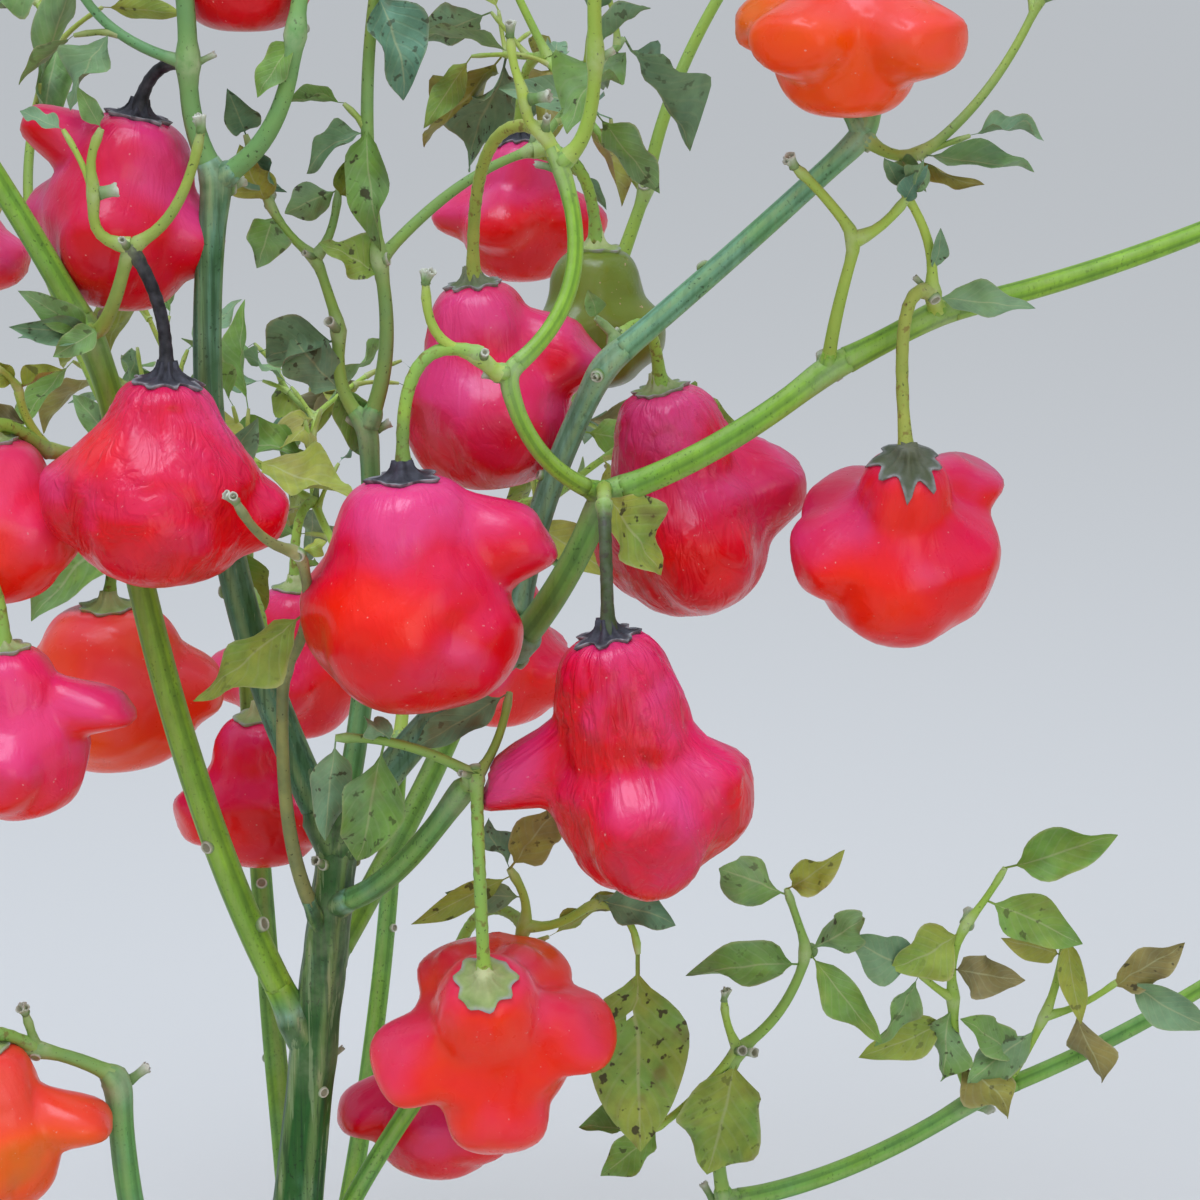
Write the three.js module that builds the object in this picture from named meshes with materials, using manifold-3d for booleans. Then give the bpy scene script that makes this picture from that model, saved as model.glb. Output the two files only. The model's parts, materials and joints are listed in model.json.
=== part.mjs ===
// A chilli pepper plant with lobed, bell-shaped pods, as an assembly of its limbs and sprays.
//
// Millimetres, +Z up, X to the right and Y away from the viewer. The origin is the middle of
// the flat cut under the main stem, at ground level.
//
// The plant forks again and again. Each bough is one tapering limb from one fork to the next,
// and it carries the short arms of its fork. What grows from it starts at the end of such an
// arm, a small gap clear of it. A spray is one solid: twigs, pods on their stalks, and leaves.

import * as THREE from 'three';
import { mergeVertices } from 'three/addons/utils/BufferGeometryUtils.js';
import Module from 'manifold-3d';

// Driving dimensions.
const GAP = 0.3; // between a limb and what grows from it
const SIDE_ROOM = 2; // by which a side arm stands out from its limb
const FORK_HEIGHT = 303; // where the main stem ends in its first fork
const STEM_LEAN = 28; // how far to the right that fork stands
const STEM_PLUMB = 110; // height up to which the stem's foot stands plumb
const STEM_RADIUS_LOW = 11;
const STEM_RADIUS_TOP = 5.1;
const FLARE = 7; // what the root flare adds at the ground
const FLARE_HEIGHT = 13; // over which the flare fades
const FLARE_RIDGES = 5;
const RIDGE = 0.35; // of the flare, how high its ridges stand
const ARM_LENGTH = 1.1; // of an arm in the direction it grows, beside its radius
const ARM_END = 0.6; // added to every arm

const STEM_SIDES = 2 * FLARE_RIDGES;
const STEM_RINGS = 9;
const STEM_RING_CROWDING = 1.7; // above 1 the stem's rings stand closer at the ground
const BOUGH_STEPS = 4;
const BOUGH_SIDES = 5;
const TWIG_SIDES = 3;
const TWIG_STEPS = 2; // of a named twig
const GROWN_STEPS = 1; // of a twig that the rule grows
const STALK_STEPS = 3;
const POD_RINGS = 6; // of a named pod
const GROWN_POD_RINGS = 5; // of a pod that the rule grows
const POD_CORNERS = { 3: 9, 4: 8, 5: 10 }; // round a pod, by how many lobes it has

// The seeded rule for what grows beyond the named twigs.
const FORK_ANGLE = 34; // degrees from the parent twig to each of its two arms
const FORK_SHORTER = 0.8; // length of an arm beside the twig that it grows from
const TWIG_TAPER = 0.78; // radius at a twig's tip beside its foot
const UPWARD = 0.22; // how much a new twig turns up to the light
const SWING = [-0.1, 0.1]; // of a twig's length, how far its middle swings out
const FORK_ANGLE_SHARE = [0.75, 1.2]; // of the fork angle
const ARM_LENGTH_SHARE = [0.85, 1.15]; // of an arm's usual length
const POD_CHANCE = 0.75; // a pod hangs in this share of the forks
const TIP_LEAVES = 2; // leaves in the tuft that ends a twig
const BARREN_CHANCE = 0.3; // the second arm is missing at this share of the forks
const SIDE_LEAF_CHANCE = 0.3; // a leaf half-way along this share of the twigs
const LEAF_LENGTH = [32, 54];
const LEAF_DROOP = [-15, 60]; // degrees below the level
const SIDE_LEAF = [0.5, 0.9]; // its place along the twig, its length beside a tip leaf's
const FORK_LEAF = [0.97, 1.1]; // the same for the leaf under a fork
const TIP_LEAF_STEP = 0.06; // of the twig's length, from one leaf of the tuft to the next
const LEAF_WIDTH = 0.44; // of the leaf's length
const LEAF_FOLD = 0.07; // of the leaf's length, how far its two halves fold up
const LEAF_ROOT_BACK = 1.5; // of a tip leaf's root from the twig's end
const LEAF_WIDEST = 0.42; // of the way from the leaf's root to its tip
const STALK_LENGTH = [26, 38]; // of a pod's stalk
const STALK_OUT = 0.5; // of its length, how far out it reaches
const STALK_DOWN = 0.8; // of its length, how far down
const STALK_ARCH = 0.25; // of its length, how far it arches over
const FEWEST_LOBES = 3;
const MORE_LOBES_CHANCE = 0.5; // one lobe more at this share of the pods
const STALK_RADIUS = 1.9;
const STALK_INTO_POD = 3; // how deep a stalk ends in its pod
const STALK_THINNEST = 0.8; // of the stalk's radius, where it leaves its twig
const STALK_SWELL = 0.45; // of the stalk's radius, gained on the way to the pod
const POD_WIDTH = [36, 46]; // of the body between the lobes
const POD_HEIGHT = 1.16; // of the pod's width
const POD_DOME = 0.76; // of the body's widest radius, the dome under the calyx
const POD_WAIST = 0.42; // of the pod's height, where the dome turns out into the brim
const WAIST_SPREAD = 0.12; // of the pod's height, to either side of the waist
const DOME_BLUNT = 0.5; // how square the pod's upper end is, and its lower end
const TIP_BLUNT = 0.62;
const LOBE_TURN = 0.6; // half-width of a lobe round the pod, in radians
const LOBE_RISE = 0.22; // half-height of a lobe, of the pod's height
const LOBE_BLUNT = 2.7; // the higher, the blunter the lobe's end
const LOBE_DROOP = 0.12; // how much a lobe sags, of its length
const LOBE_LENGTH = [5, 10];
const LOBE_PLACE = [0.5, 0.68]; // how far down the pod its lobes stand
const LOBE_SIZE = 0.9;
const LOBE_ROOM = 0.4; // of the longest lobe, added to the room that a pod keeps
const CURVE_STRETCHES = 3; // straight stretches that stand for a limb when room is sought
const CLEARANCE = 0.6; // kept from the solids of other limbs and sprays
const GROUND_CLEAR = 45; // lowest point of any leaf or pod above the ground

// Boughs: name, limb it grows from, how far along that limb, tip, bow, radius at foot and tip.
// The bow is how far the limb's middle swings out from the straight line.
const BOUGHS = [
  ['left_bough', 'main_stem', 1, [2, 4, 479], [-14, 2, 1], 4.5, 3.4],
  ['centre_bough', 'main_stem', 1, [37, 20, 413], [3, 8, 0], 3, 2.5],
  ['right_bough', 'main_stem', 1, [75, 0, 358], [-1, -1, 3], 4.5, 4.1],
  ['low_left_bough', 'main_stem', 0.84, [-26, 2, 402], [-4, -7, 0], 3.9, 3.5],
  ['left_rise_bough', 'low_left_bough', 1, [-31, -4, 442], [2, 0, 0], 3.5, 3.2],
  ['far_left_bough', 'left_rise_bough', 1, [-100, -24, 566], [3, 3, -2], 3.2, 2.4],
  ['side_bough', 'main_stem', 0.955, [63, -30, 329], [1, -3, -3], 3, 2.7],
  ['inner_bough', 'right_bough', 1, [99, -2, 433], [-3, 8, 0], 3.4, 3],
  ['outer_bough', 'right_bough', 1, [99, -10, 401], [1, -4, -1], 3.9, 3.5],
  ['long_right_bough', 'outer_bough', 1, [155, -8, 433], [1, -3, -2], 3.5, 3.1],
  ['long_right_bough_mid', 'long_right_bough', 1, [183, -4, 447], [0, -1, 0], 3.1, 2.8],
  ['long_right_bough_end', 'long_right_bough_mid', 1, [288, 10, 482], [0, 3, -4], 2.8, 2.2],
  ['link_bough', 'outer_bough', 1, [75, -24, 435], [-4, -4, -2], 2.3, 2.1],
  ['rise_bough', 'link_bough', 1, [88, -4, 484], [9, 1, -3], 2.1, 2],
  ['upper_right_bough', 'inner_bough', 1, [163, -6, 491], [0, 2, -1], 3, 2.6],
  ['upper_right_bough_end', 'upper_right_bough', 1, [214, 30, 596], [-6, 6, -4], 2.6, 2.1],
  ['low_left_stem', 'main_stem', 0.5, [-28, -28, 249], [-9, -8, -8], 3.6, 3.2],
  ['low_middle_bough', 'main_stem', 0.56, [72, -2, 266], [-3, 2, 2], 2.6, 2.3],
  ['low_right_bough', 'main_stem', 0.4, [132, -10, 204], [10, -6, -14], 3.4, 2.9],
  ['low_right_bough_mid', 'low_right_bough', 1, [200, -3, 231], [1, 0, -4], 2.7, 2.4],
  ['low_right_bough_end', 'low_right_bough_mid', 1, [322, 14, 304], [4, 2, -6], 2.4, 1.9],
  ['back_left_bough', 'main_stem', 0.68, [-8, 98, 366], [-4, 20, -14], 3.4, 2.8],
  ['back_right_bough', 'main_stem', 0.9, [100, 124, 430], [4, 22, -12], 3.6, 2.8],
  ['back_low_bough', 'main_stem', 0.36, [34, 140, 286], [4, 26, -14], 3.4, 2.7],
  ['front_left_bough', 'main_stem', 0.34, [-92, -118, 250], [-12, -20, -16], 3.4, 2.6],
  ['front_right_bough', 'main_stem', 0.3, [112, -150, 190], [12, -22, -16], 3.4, 2.6],
];

// Sprays. Every place is in millimetres from the foot of the plant.
// twigs: name, twig it grows from, tip, bow, radius. The first one is the spray's stem.
// pods: twig, place of the calyx, bow of the stalk, lean, [width, height, dome, waist, spread]
// of the body, and its lobes, each as [degrees round the pod, how far down it, length, size] and,
// for a lobe that doesn't hang like the others, its own droop.
// leaves: twig, how far along it, reach from there to the leaf's tip, width.
// shoots: twig, heading, length, how many times it forks again.
const SPRAYS = [
  {
    name: 'left_crown_spray',
    bough: 'left_bough',
    seed: 3,
    twigs: [
      ['stem', '', [-4, 2, 508], [-2, 0, 0], 2.8],
      ['leader', 'stem', [-24, -14, 596], [6, 4, 0], 2.4],
      ['corner', 'stem', [-34, 12, 530], [-4, 0, -3], 1.5],
    ],
    pods: [['stem', [-19, 13, 494], [-2, 2, 4], [-0.2, 0, 0], [42, 49, 0.84, 0.42, 0.16], [
      [5, 0.55, 6, 0.9],
      [90, 0.65, 3, 1],
      [172, 0.18, 12, 0.6, -0.3],
      [200, 0.6, 4, 0.9],
      [280, 0.6, 5, 1],
    ]]],
    leaves: [
      ['corner', 1, [-24, 0, -6], 14],
      ['corner', 0.5, [-12, -6, -20], 12],
      ['corner', 0.9, [6, -8, 16], 12],
    ],
    shoots: [
      ['leader', [-0.3, -0.25, 0.9], 62, 2],
      ['corner', [-0.7, 0.1, 0.6], 54, 1],
    ],
  },
  {
    name: 'middle_crown_spray',
    bough: 'left_bough',
    seed: 8,
    twigs: [
      ['stem', '', [23, 0, 515], [4, -1, -3], 2.6],
      ['leader', 'stem', [50, 20, 590], [-5, 0, 0], 2.2],
      ['inward', 'stem', [18, 14, 572], [3, 0, 0], 1.6],
    ],
    pods: [['inward', [9, 16, 558], [-3, 0, 5], [0, 0, 0], [38, 43, 0.8, 0.4, 0.12], [
      [20, 0.6, 5, 0.9],
      [150, 0.55, 6, 0.9],
      [265, 0.6, 5, 0.9],
    ]]],
    leaves: [['stem', 1, [-10, -2, -14], 9]],
    shoots: [
      ['leader', [0.3, 0.2, 1], 64, 2],
    ],
  },
  {
    name: 'left_twig_spray',
    bough: 'left_rise_bough',
    seed: 5,
    twigs: [
      ['stem', '', [-15, -30, 467], [1, -6, -5], 2],
      ['right', 'stem', [3, -28, 494], [2, 0, -5], 1.5],
      ['left', 'stem', [-22, -32, 480], [-4, 0, -3], 1.5],
      ['left_tip', 'left', [-20, -32, 495], [-2, 0, 0], 1.2],
    ],
    pods: [['stem', [-8, -28, 434], [3, 0, 1], [-0.08, 0, 0], [50, 50, 0.62, 0.3, 0.2], [
      [90, 0.75, 3, 1.1],
      [185, 0.64, 5, 1],
      [270, 0.6, 5, 1],
      [350, 0.66, 7, 0.8],
    ]]],
    leaves: [
      ['stem', 0.12, [-20, -10, 2], 9],
      ['stem', 0.1, [-16, -14, 12], 8],
      ['stem', 0.3, [-12, -6, -8], 7],
      ['left_tip', 1, [-4, -4, 12], 5],
    ],
    shoots: [],
  },
  {
    name: 'far_left_spray',
    bough: 'far_left_bough',
    seed: 21,
    twigs: [['stem', '', [-122, -30, 604], [3, 0, 0], 2.1]],
    pods: [],
    leaves: [],
    shoots: [
      ['stem', [-0.75, -0.2, 0.6], 60, 2],
      ['stem', [0.1, 0.3, 1], 56, 1],
    ],
  },
  {
    name: 'left_side_spray',
    bough: 'low_left_bough',
    seed: 13,
    twigs: [
      ['stem', '', [-42, -4, 411], [0, 0, 2], 1.9],
      ['outward', 'stem', [-84, -20, 424], [0, 0, 3], 1.6],
      ['upward', 'stem', [-48, -10, 430], [-2, 0, 0], 1.3],
      ['lower', 'outward', [-82, -34, 404], [-3, 0, 2], 1.4],
    ],
    pods: [
      ['stem', [-55, -14, 416], [-3, -2, 6], [0, 0, 0], [38, 41, 0.85, 0.35, 0.12], [
        [20, 0.55, 3, 1.1],
        [160, 0.6, 5, 0.9],
        [270, 0.6, 4, 1],
      ]],
      ['lower', [-50, -36, 368], [10, 0, 6], [0.1, 0, 0], [36, 43, 0.8, 0.4, 0.12], [
        [5, 0.36, 15, 0.7, 0.1],
        [100, 0.66, 5, 1],
        [190, 0.55, 6, 0.9],
        [275, 0.6, 5, 1],
      ]],
    ],
    leaves: [
      ['upward', 1, [-10, -4, 8], 7],
      ['upward', 0.9, [12, -2, 6], 6],
      ['upward', 0.4, [-16, 2, 2], 8],
    ],
    shoots: [['outward', [-0.9, -0.3, 0.5], 60, 1]],
  },
  {
    name: 'front_twig_spray',
    bough: 'main_stem',
    along: 0.93,
    seed: 17,
    twigs: [
      ['stem', '', [17, -15, 357], [-3, -7, 0], 2],
      ['riser', 'stem', [25, -40, 394], [4, -2, -1], 1.6],
      ['tip', 'riser', [12, -56, 410], [-1, 0, -3], 1.4],
    ],
    pods: [],
    leaves: [
      ['riser', 0.55, [-28, -10, -22], 16],
      ['riser', 1, [7, -4, 5], 5],
    ],
    shoots: [],
  },
  {
    name: 'centre_left_spray',
    bough: 'centre_bough',
    seed: 29,
    twigs: [
      ['stem', '', [30, 23, 438], [-3, 0, -1], 2],
      ['upper', 'stem', [24, 25, 457], [0, 0, 0], 1.6],
      ['left', 'upper', [12, 27, 470], [0, 0, -2], 1.3],
      ['right', 'upper', [30, 28, 474], [1, 0, -2], 1.3],
      ['far', 'left', [6, 30, 488], [0, 0, 0], 1.1],
    ],
    pods: [],
    leaves: [
      ['left', 1, [-8, -6, 18], 12],
      ['left', 0.9, [-4, -8, -14], 11],
      ['far', 1, [-4, -6, 14], 11],
      ['far', 0.9, [10, -4, -14], 12],
      ['right', 1, [-14, -6, -4], 11],
      ['right', 0.9, [10, -4, 14], 9],
      ['stem', 0.9, [-22, 8, -6], 16],
      ['stem', 0.3, [-16, 4, 16], 14],
      ['stem', 0.5, [6, 6, -24], 11],
    ],
    shoots: [],
  },
  {
    name: 'centre_right_spray',
    bough: 'centre_bough',
    seed: 31,
    twigs: [
      ['stem', '', [41, 18, 457], [3, 0, 0], 2.2],
      ['leader', 'stem', [42, 22, 530], [-3, 0, 0], 1.9],
      ['across', 'stem', [80, 50, 482], [0, 4, 4], 1.6],
      ['top', 'leader', [52, 40, 592], [-2, 0, 0], 1.6],
    ],
    pods: [['across', [97, 56, 455], [4, 0, 8], [0, 0, 0], [32, 38, 0.85, 0.4, 0.12], [
      [10, 0.6, 3, 1],
      [130, 0.6, 3, 1],
      [250, 0.6, 3, 1],
    ]]],
    leaves: [
      ['leader', 0.95, [8, -6, -30], 17],
      ['leader', 0.5, [3, -7, -36], 13],
      ['leader', 0.45, [-18, -6, -10], 11],
      ['stem', 0.9, [-16, -4, 10], 11],
    ],
    shoots: [
      ['top', [0.2, 0.5, 0.8], 56, 1],
      ['across', [0.6, 0.5, 0.6], 40, 0],
    ],
  },
  {
    name: 'hook_pod_spray',
    bough: 'link_bough',
    seed: 37,
    twigs: [
      ['stem', '', [69, -27, 440], [0, 0, -1], 1.9],
      ['left', 'stem', [56, -30, 458], [-4, 0, -4], 1.4],
    ],
    pods: [['stem', [50, -31, 410], [-6, 0, 12], [0.05, 0, 0], [50, 58, 0.82, 0.36, 0.14], [
      [357, 0.28, 14.5, 0.8, -0.05],
      [30, 0.74, 4, 1],
      [110, 0.7, 3, 1.1],
      [195, 0.6, 3, 1.1],
      [280, 0.6, 6, 1],
    ]]],
    leaves: [],
    shoots: [],
  },
  {
    name: 'rise_pod_spray',
    bough: 'rise_bough',
    seed: 41,
    twigs: [
      ['stem', '', [84, -3, 492], [0, 0, 0], 1.8],
      ['left', 'stem', [80, -6, 500], [-2, 0, -2], 1.4],
      ['left_tip', 'left', [76, -6, 515], [-1, 0, 0], 1.2],
    ],
    pods: [['stem', [65, 24, 450], [-5, 0, 14], [0.12, 0, 0], [44, 54, 0.72, 0.4, 0.12], [
      [8, 0.36, 12, 0.85, -0.05],
      [80, 0.7, 3, 1],
      [190, 0.75, 2, 1],
      [270, 0.6, 6, 1],
    ]]],
    leaves: [],
    shoots: [],
  },
  {
    name: 'rise_top_spray',
    bough: 'rise_bough',
    seed: 43,
    twigs: [
      ['stem', '', [97, -6, 510], [2, 0, -3], 2],
      ['leader', 'stem', [108, -16, 588], [-4, 0, 0], 1.8],
    ],
    pods: [],
    leaves: [],
    shoots: [
      ['leader', [0.1, -0.2, 0.9], 62, 2],
    ],
  },
  {
    name: 'inner_pod_spray',
    bough: 'inner_bough',
    seed: 47,
    twigs: [
      ['stem', '', [103, 9, 438], [0, 0, 0], 2.2],
      ['stub', 'stem', [97, 6, 444], [0, 0, 0], 1.2],
    ],
    pods: [['stem', [114, 29, 421], [2, 2, 9], [0.2, 0.05, 0], [46, 62, 0.78, 0.42, 0.08], [
      [350, 0.5, 11, 1, -0.05],
      [80, 0.72, 6, 1],
      [200, 0.7, 4, 1],
      [270, 0.6, 5, 1],
    ]]],
    leaves: [['stub', 1, [-3, -4, 9], 6]],
    shoots: [],
  },
  {
    name: 'middle_pod_spray',
    bough: 'outer_bough',
    seed: 53,
    twigs: [['stem', '', [99, -27, 403], [0, 0, 2], 2]],
    pods: [['stem', [100, -38, 372], [0, -4, 3], [0.17, 0.04, 0], [44, 66, 0.78, 0.5, 0.07], [
      [12, 0.66, 8, 1.05],
      [85, 0.76, 8, 1.1],
      [186, 0.47, 18.5, 0.64, 0.2],
      [270, 0.62, 7, 1],
    ]]],
    leaves: [['stem', 0.5, [16, 8, -25], 17]],
    shoots: [],
  },
  {
    name: 'long_right_twig_spray',
    bough: 'long_right_bough',
    seed: 59,
    twigs: [
      ['stem', '', [161, -16, 467], [-1, -3, 0], 1.8],
      ['left', 'stem', [145, -20, 485], [0, 0, 1], 1.4],
      ['right', 'stem', [173, -20, 478], [0, 0, -2], 1.4],
    ],
    pods: [],
    leaves: [
      ['right', 1, [4, -8, 11], 7],
      ['right', 0.9, [5, -5, 10], 6],
    ],
    shoots: [],
  },
  {
    name: 'long_right_pod_spray',
    bough: 'long_right_bough_mid',
    seed: 61,
    twigs: [
      ['stem', '', [180, -12, 453], [0, 0, 0], 2.1],
      ['upward', 'stem', [171, -18, 480], [3, 0, 0], 1.4],
    ],
    pods: [['stem', [174, -24, 413], [-4, 0, 13], [0.03, 0.6, 0], [47, 53, 0.56, 0.34, 0.12], [
      [25, 0.62, 2.5, 1],
      [95, 0.68, 2.5, 1],
      [165, 0.5, 5.5, 0.85],
      [225, 0.5, 4, 0.8],
      [320, 0.32, 10, 0.75, 0],
    ]]],
    leaves: [
      ['stem', 0.8, [26, -5, -2], 9],
      ['upward', 0.2, [2, -6, 12], 5],
      ['upward', 1, [-5, -3, 9], 6],
    ],
    shoots: [],
  },
  {
    name: 'upper_right_pod_spray',
    bough: 'upper_right_bough',
    seed: 67,
    twigs: [
      ['stem', '', [156, -2, 502], [0, 0, 0], 2],
      ['rise', 'stem', [164, 8, 562], [-1, 9, 0], 1.7],
      ['stub', 'stem', [144, -12, 509], [1, 2, -2], 1.4],
      ['left', 'rise', [150, -2, 584], [0, 0, 0], 1.3],
    ],
    pods: [['rise', [157, -23, 544], [0, -3, 5], [0, 0, 0], [38, 47, 0.72, 0.4, 0.1], [
      [45, 0.58, 12, 0.95],
      [128, 0.58, 11, 0.9],
      [185, 0.5, 8, 0.8],
      [270, 0.5, 6, 1],
    ]]],
    leaves: [],
    shoots: [['left', [-0.3, 0.2, 1], 46, 0]],
  },
  {
    name: 'upper_right_thin_spray',
    bough: 'upper_right_bough',
    seed: 71,
    twigs: [
      ['stem', '', [176, -14, 487], [0, 0, -2], 1.6],
      ['thin', 'stem', [206, 0, 524], [2, 0, -3], 1.3],
    ],
    pods: [],
    leaves: [
      ['stem', 1, [33, -4, -3], 10],
      ['stem', 0.9, [18, -8, -8], 6],
      ['stem', 0.6, [6, -10, -8], 6],
    ],
    shoots: [['thin', [0.6, 0, 0.7], 44, 0]],
  },
  {
    name: 'upper_right_top_spray',
    bough: 'upper_right_bough_end',
    seed: 73,
    twigs: [['stem', '', [226, 36, 628], [0, 0, 0], 1.9]],
    pods: [],
    leaves: [],
    shoots: [
      ['stem', [0.3, 0.2, 0.8], 60, 2],
    ],
  },
  {
    name: 'side_pod_spray',
    bough: 'side_bough',
    seed: 79,
    twigs: [
      ['stem', '', [67, -36, 335], [0, 0, 0], 2.2],
      ['left', 'stem', [32, -36, 345], [0, 0, 3], 1.4],
      ['upward', 'stem', [75, -20, 352], [1, 0, -2], 1.3],
    ],
    pods: [['stem', [69, -47, 284], [0, -4, 3], [0.03, 0.8, 0], [43, 54, 0.7, 0.4, 0.1], [
      [2, 0.42, 11, 0.85],
      [85, 0.72, 8, 1],
      [160, 0.5, 10, 0.85],
      [245, 0.4, 8, 0.9],
      [300, 0.4, 8, 0.9],
    ]]],
    leaves: [
      ['left', 1, [-5, -4, -28], 12],
      ['left', 0.65, [-8, -2, -34], 18],
      ['left', 0.6, [-6, -6, 9], 7],
      ['upward', 1, [-25, -6, -12], 10],
    ],
    shoots: [],
  },
  {
    name: 'low_left_spray',
    bough: 'low_left_stem',
    seed: 83,
    twigs: [
      ['stem', '', [-48, -32, 259], [0, 0, 1], 2.2],
      ['outward', 'stem', [-100, -46, 286], [0, 0, -3], 1.8],
      ['stub', 'stem', [-50, -34, 270], [0, 0, 0], 1.3],
    ],
    pods: [['stem', [-60, -40, 263], [-2, -2, 5], [0.05, 0, 0], [36, 44, 0.8, 0.4, 0.12], [
      [358, 0.46, 13, 0.75],
      [100, 0.66, 5, 1],
      [185, 0.55, 6, 0.9],
      [270, 0.6, 5, 1],
    ]]],
    leaves: [],
    shoots: [
      ['outward', [-0.8, -0.3, 0.5], 60, 2],
    ],
  },
  {
    name: 'low_middle_spray',
    bough: 'low_middle_bough',
    seed: 89,
    twigs: [
      ['stem', '', [78, -4, 282], [0, 0, -1], 1.9],
      ['left', 'stem', [74, -6, 299], [2, 0, 0], 1.4],
      ['right', 'stem', [97, -10, 292], [0, 0, -3], 1.4],
      ['down', 'right', [108, -14, 278], [3, 0, 2], 1.2],
    ],
    pods: [['stem', [52, 26, 238], [-2, 8, 14], [0, 0, 0], [40, 42, 0.75, 0.4, 0.12], [
      [40, 0.6, 5, 1],
      [170, 0.5, 9, 0.9],
      [280, 0.6, 5, 1],
    ]]],
    leaves: [
      ['left', 0.9, [-28, -8, -12], 8],
      ['left', 1, [14, -4, 22], 14],
      ['left', 0.5, [-22, -2, 2], 8],
      ['right', 1, [24, -4, -5], 13],
      ['down', 1, [1, -14, -53], 26],
      ['left', 1, [-8, 2, 16], 9],
    ],
    shoots: [],
  },
  {
    name: 'low_right_spray',
    bough: 'low_right_bough',
    seed: 97,
    twigs: [
      ['stem', '', [135, -10, 249], [-3, 0, 0], 1.9],
      ['upward', 'stem', [153, -12, 278], [2, 0, -3], 1.6],
      ['left', 'stem', [131, -12, 264], [-1, 0, 0], 1.2],
      ['top', 'upward', [147, -13, 296], [0, 0, 0], 1.2],
      ['low', 'stem', [112, -12, 226], [0, 0, -2], 1.3],
    ],
    pods: [],
    leaves: [
      ['stem', 0.97, [-8, -6, -35], 22],
      ['upward', 0.9, [-33, -5, -1], 14],
      ['top', 0.9, [-19, -5, 10], 15],
      ['upward', 1, [14, -13, 16], 12],
      ['upward', 1, [21, -10, -22], 10],
      ['top', 1, [15, -4, 14], 11],
      ['low', 1, [-22, -2, 3], 11],
      ['low', 0.9, [-17, -5, -14], 10],
    ],
    shoots: [],
  },
  {
    name: 'low_right_leafy_spray',
    bough: 'low_right_bough_mid',
    seed: 101,
    twigs: [
      ['stem', '', [193, -6, 262], [-2, 0, 0], 1.7],
      ['upper', 'stem', [195, -8, 284], [-2, 0, 0], 1.4],
      ['tip', 'upper', [205, -8, 300], [0, 0, -1], 1.1],
      ['side', 'stem', [182, -10, 272], [0, 0, -1], 1.1],
    ],
    pods: [],
    leaves: [
      ['tip', 1, [31, -5, 13], 15],
      ['tip', 0.5, [26, -8, -10], 14],
      ['upper', 0.9, [-20, -6, -9], 16],
      ['stem', 0.95, [-5, -8, -23], 14],
      ['stem', 0.8, [-27, -5, -10], 11],
      ['side', 1, [-20, -5, 12], 14],
      ['side', 0.9, [-12, -6, -20], 11],
      ['upper', 0.4, [18, -13, 2], 11],
      ['stem', 0.4, [15, -13, -13], 14],
    ],
    shoots: [],
  },
  {
    name: 'low_right_small_spray',
    bough: 'low_right_bough_mid',
    seed: 103,
    twigs: [
      ['stem', '', [218, -4, 256], [1, 0, -2], 1.4],
      ['upper', 'stem', [222, -6, 282], [1, 0, 0], 1.2],
      ['right', 'stem', [238, -6, 268], [0, 0, -2], 1.1],
    ],
    pods: [],
    leaves: [
      ['upper', 1, [5, -5, -26], 8],
      ['upper', 0.7, [-18, -8, 8], 9],
      ['stem', 0.9, [-22, -12, -12], 13],
      ['right', 1, [26, -5, -13], 12],
      ['right', 0.8, [20, -5, 15], 12],
      ['stem', 0.5, [-18, -6, 15], 12],
      ['right', 0.4, [8, -8, -23], 12],
    ],
    shoots: [],
  },
  {
    name: 'low_right_end_spray',
    bough: 'low_right_bough_end',
    seed: 107,
    twigs: [['stem', '', [344, 16, 322], [0, 0, 0], 1.7]],
    pods: [],
    leaves: [],
    shoots: [
      ['stem', [0.6, -0.3, 0.7], 48, 1],
      ['stem', [0.4, 0.7, 0.5], 44, 1],
    ],
  },
  {
    name: 'long_right_end_spray',
    bough: 'long_right_bough_end',
    seed: 109,
    twigs: [['stem', '', [312, 14, 494], [0, 0, 0], 2]],
    pods: [],
    leaves: [],
    shoots: [
      ['stem', [0.8, -0.2, 0.6], 56, 2],
      ['stem', [0.1, 0.6, 0.8], 46, 0],
    ],
  },
  {
    name: 'back_left_spray',
    bough: 'back_left_bough',
    seed: 113,
    twigs: [
      ['stem', '', [-32, 90, 380], [0, 0, 0], 2.2],
      ['right', 'stem', [-2, 64, 356], [0, 0, 5], 1.6],
      ['leader', 'stem', [-70, 120, 452], [0, 0, -6], 2],
    ],
    pods: [
      ['stem', [-43, 70, 350], [-2, 0, 9], [0, 0, 0], [52, 47, 0.86, 0.35, 0.14], [
        [350, 0.5, 6, 1],
        [90, 0.6, 3, 1],
        [180, 0.5, 3, 1],
        [270, 0.5, 4, 1],
      ]],
      ['right', [2, 48, 324], [3, -2, 7], [0, 0, 0], [38, 43, 0.78, 0.4, 0.12], [
        [30, 0.6, 6, 0.9],
        [150, 0.6, 7, 0.9],
        [270, 0.6, 5, 1],
      ]],
    ],
    leaves: [
      ['stem', 0.9, [-38, -18, -34], 28],
      ['right', 0.6, [12, 10, -30], 15],
      ['stem', 0.6, [22, 4, 26], 15],
    ],
    shoots: [
      ['leader', [-0.7, 0.3, 0.7], 62, 2],
      ['leader', [0.1, 0.5, 0.9], 62, 1],
    ],
  },
  {
    name: 'back_right_spray',
    bough: 'back_right_bough',
    seed: 127,
    twigs: [
      ['stem', '', [112, 140, 462], [0, 0, 0], 2.3],
      ['leader', 'stem', [150, 170, 540], [-6, 0, 0], 2],
    ],
    pods: [],
    leaves: [],
    shoots: [
      ['leader', [0.4, 0.4, 0.8], 62, 2],
      ['stem', [-0.5, 0.7, 0.5], 60, 1],
    ],
  },
  {
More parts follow.
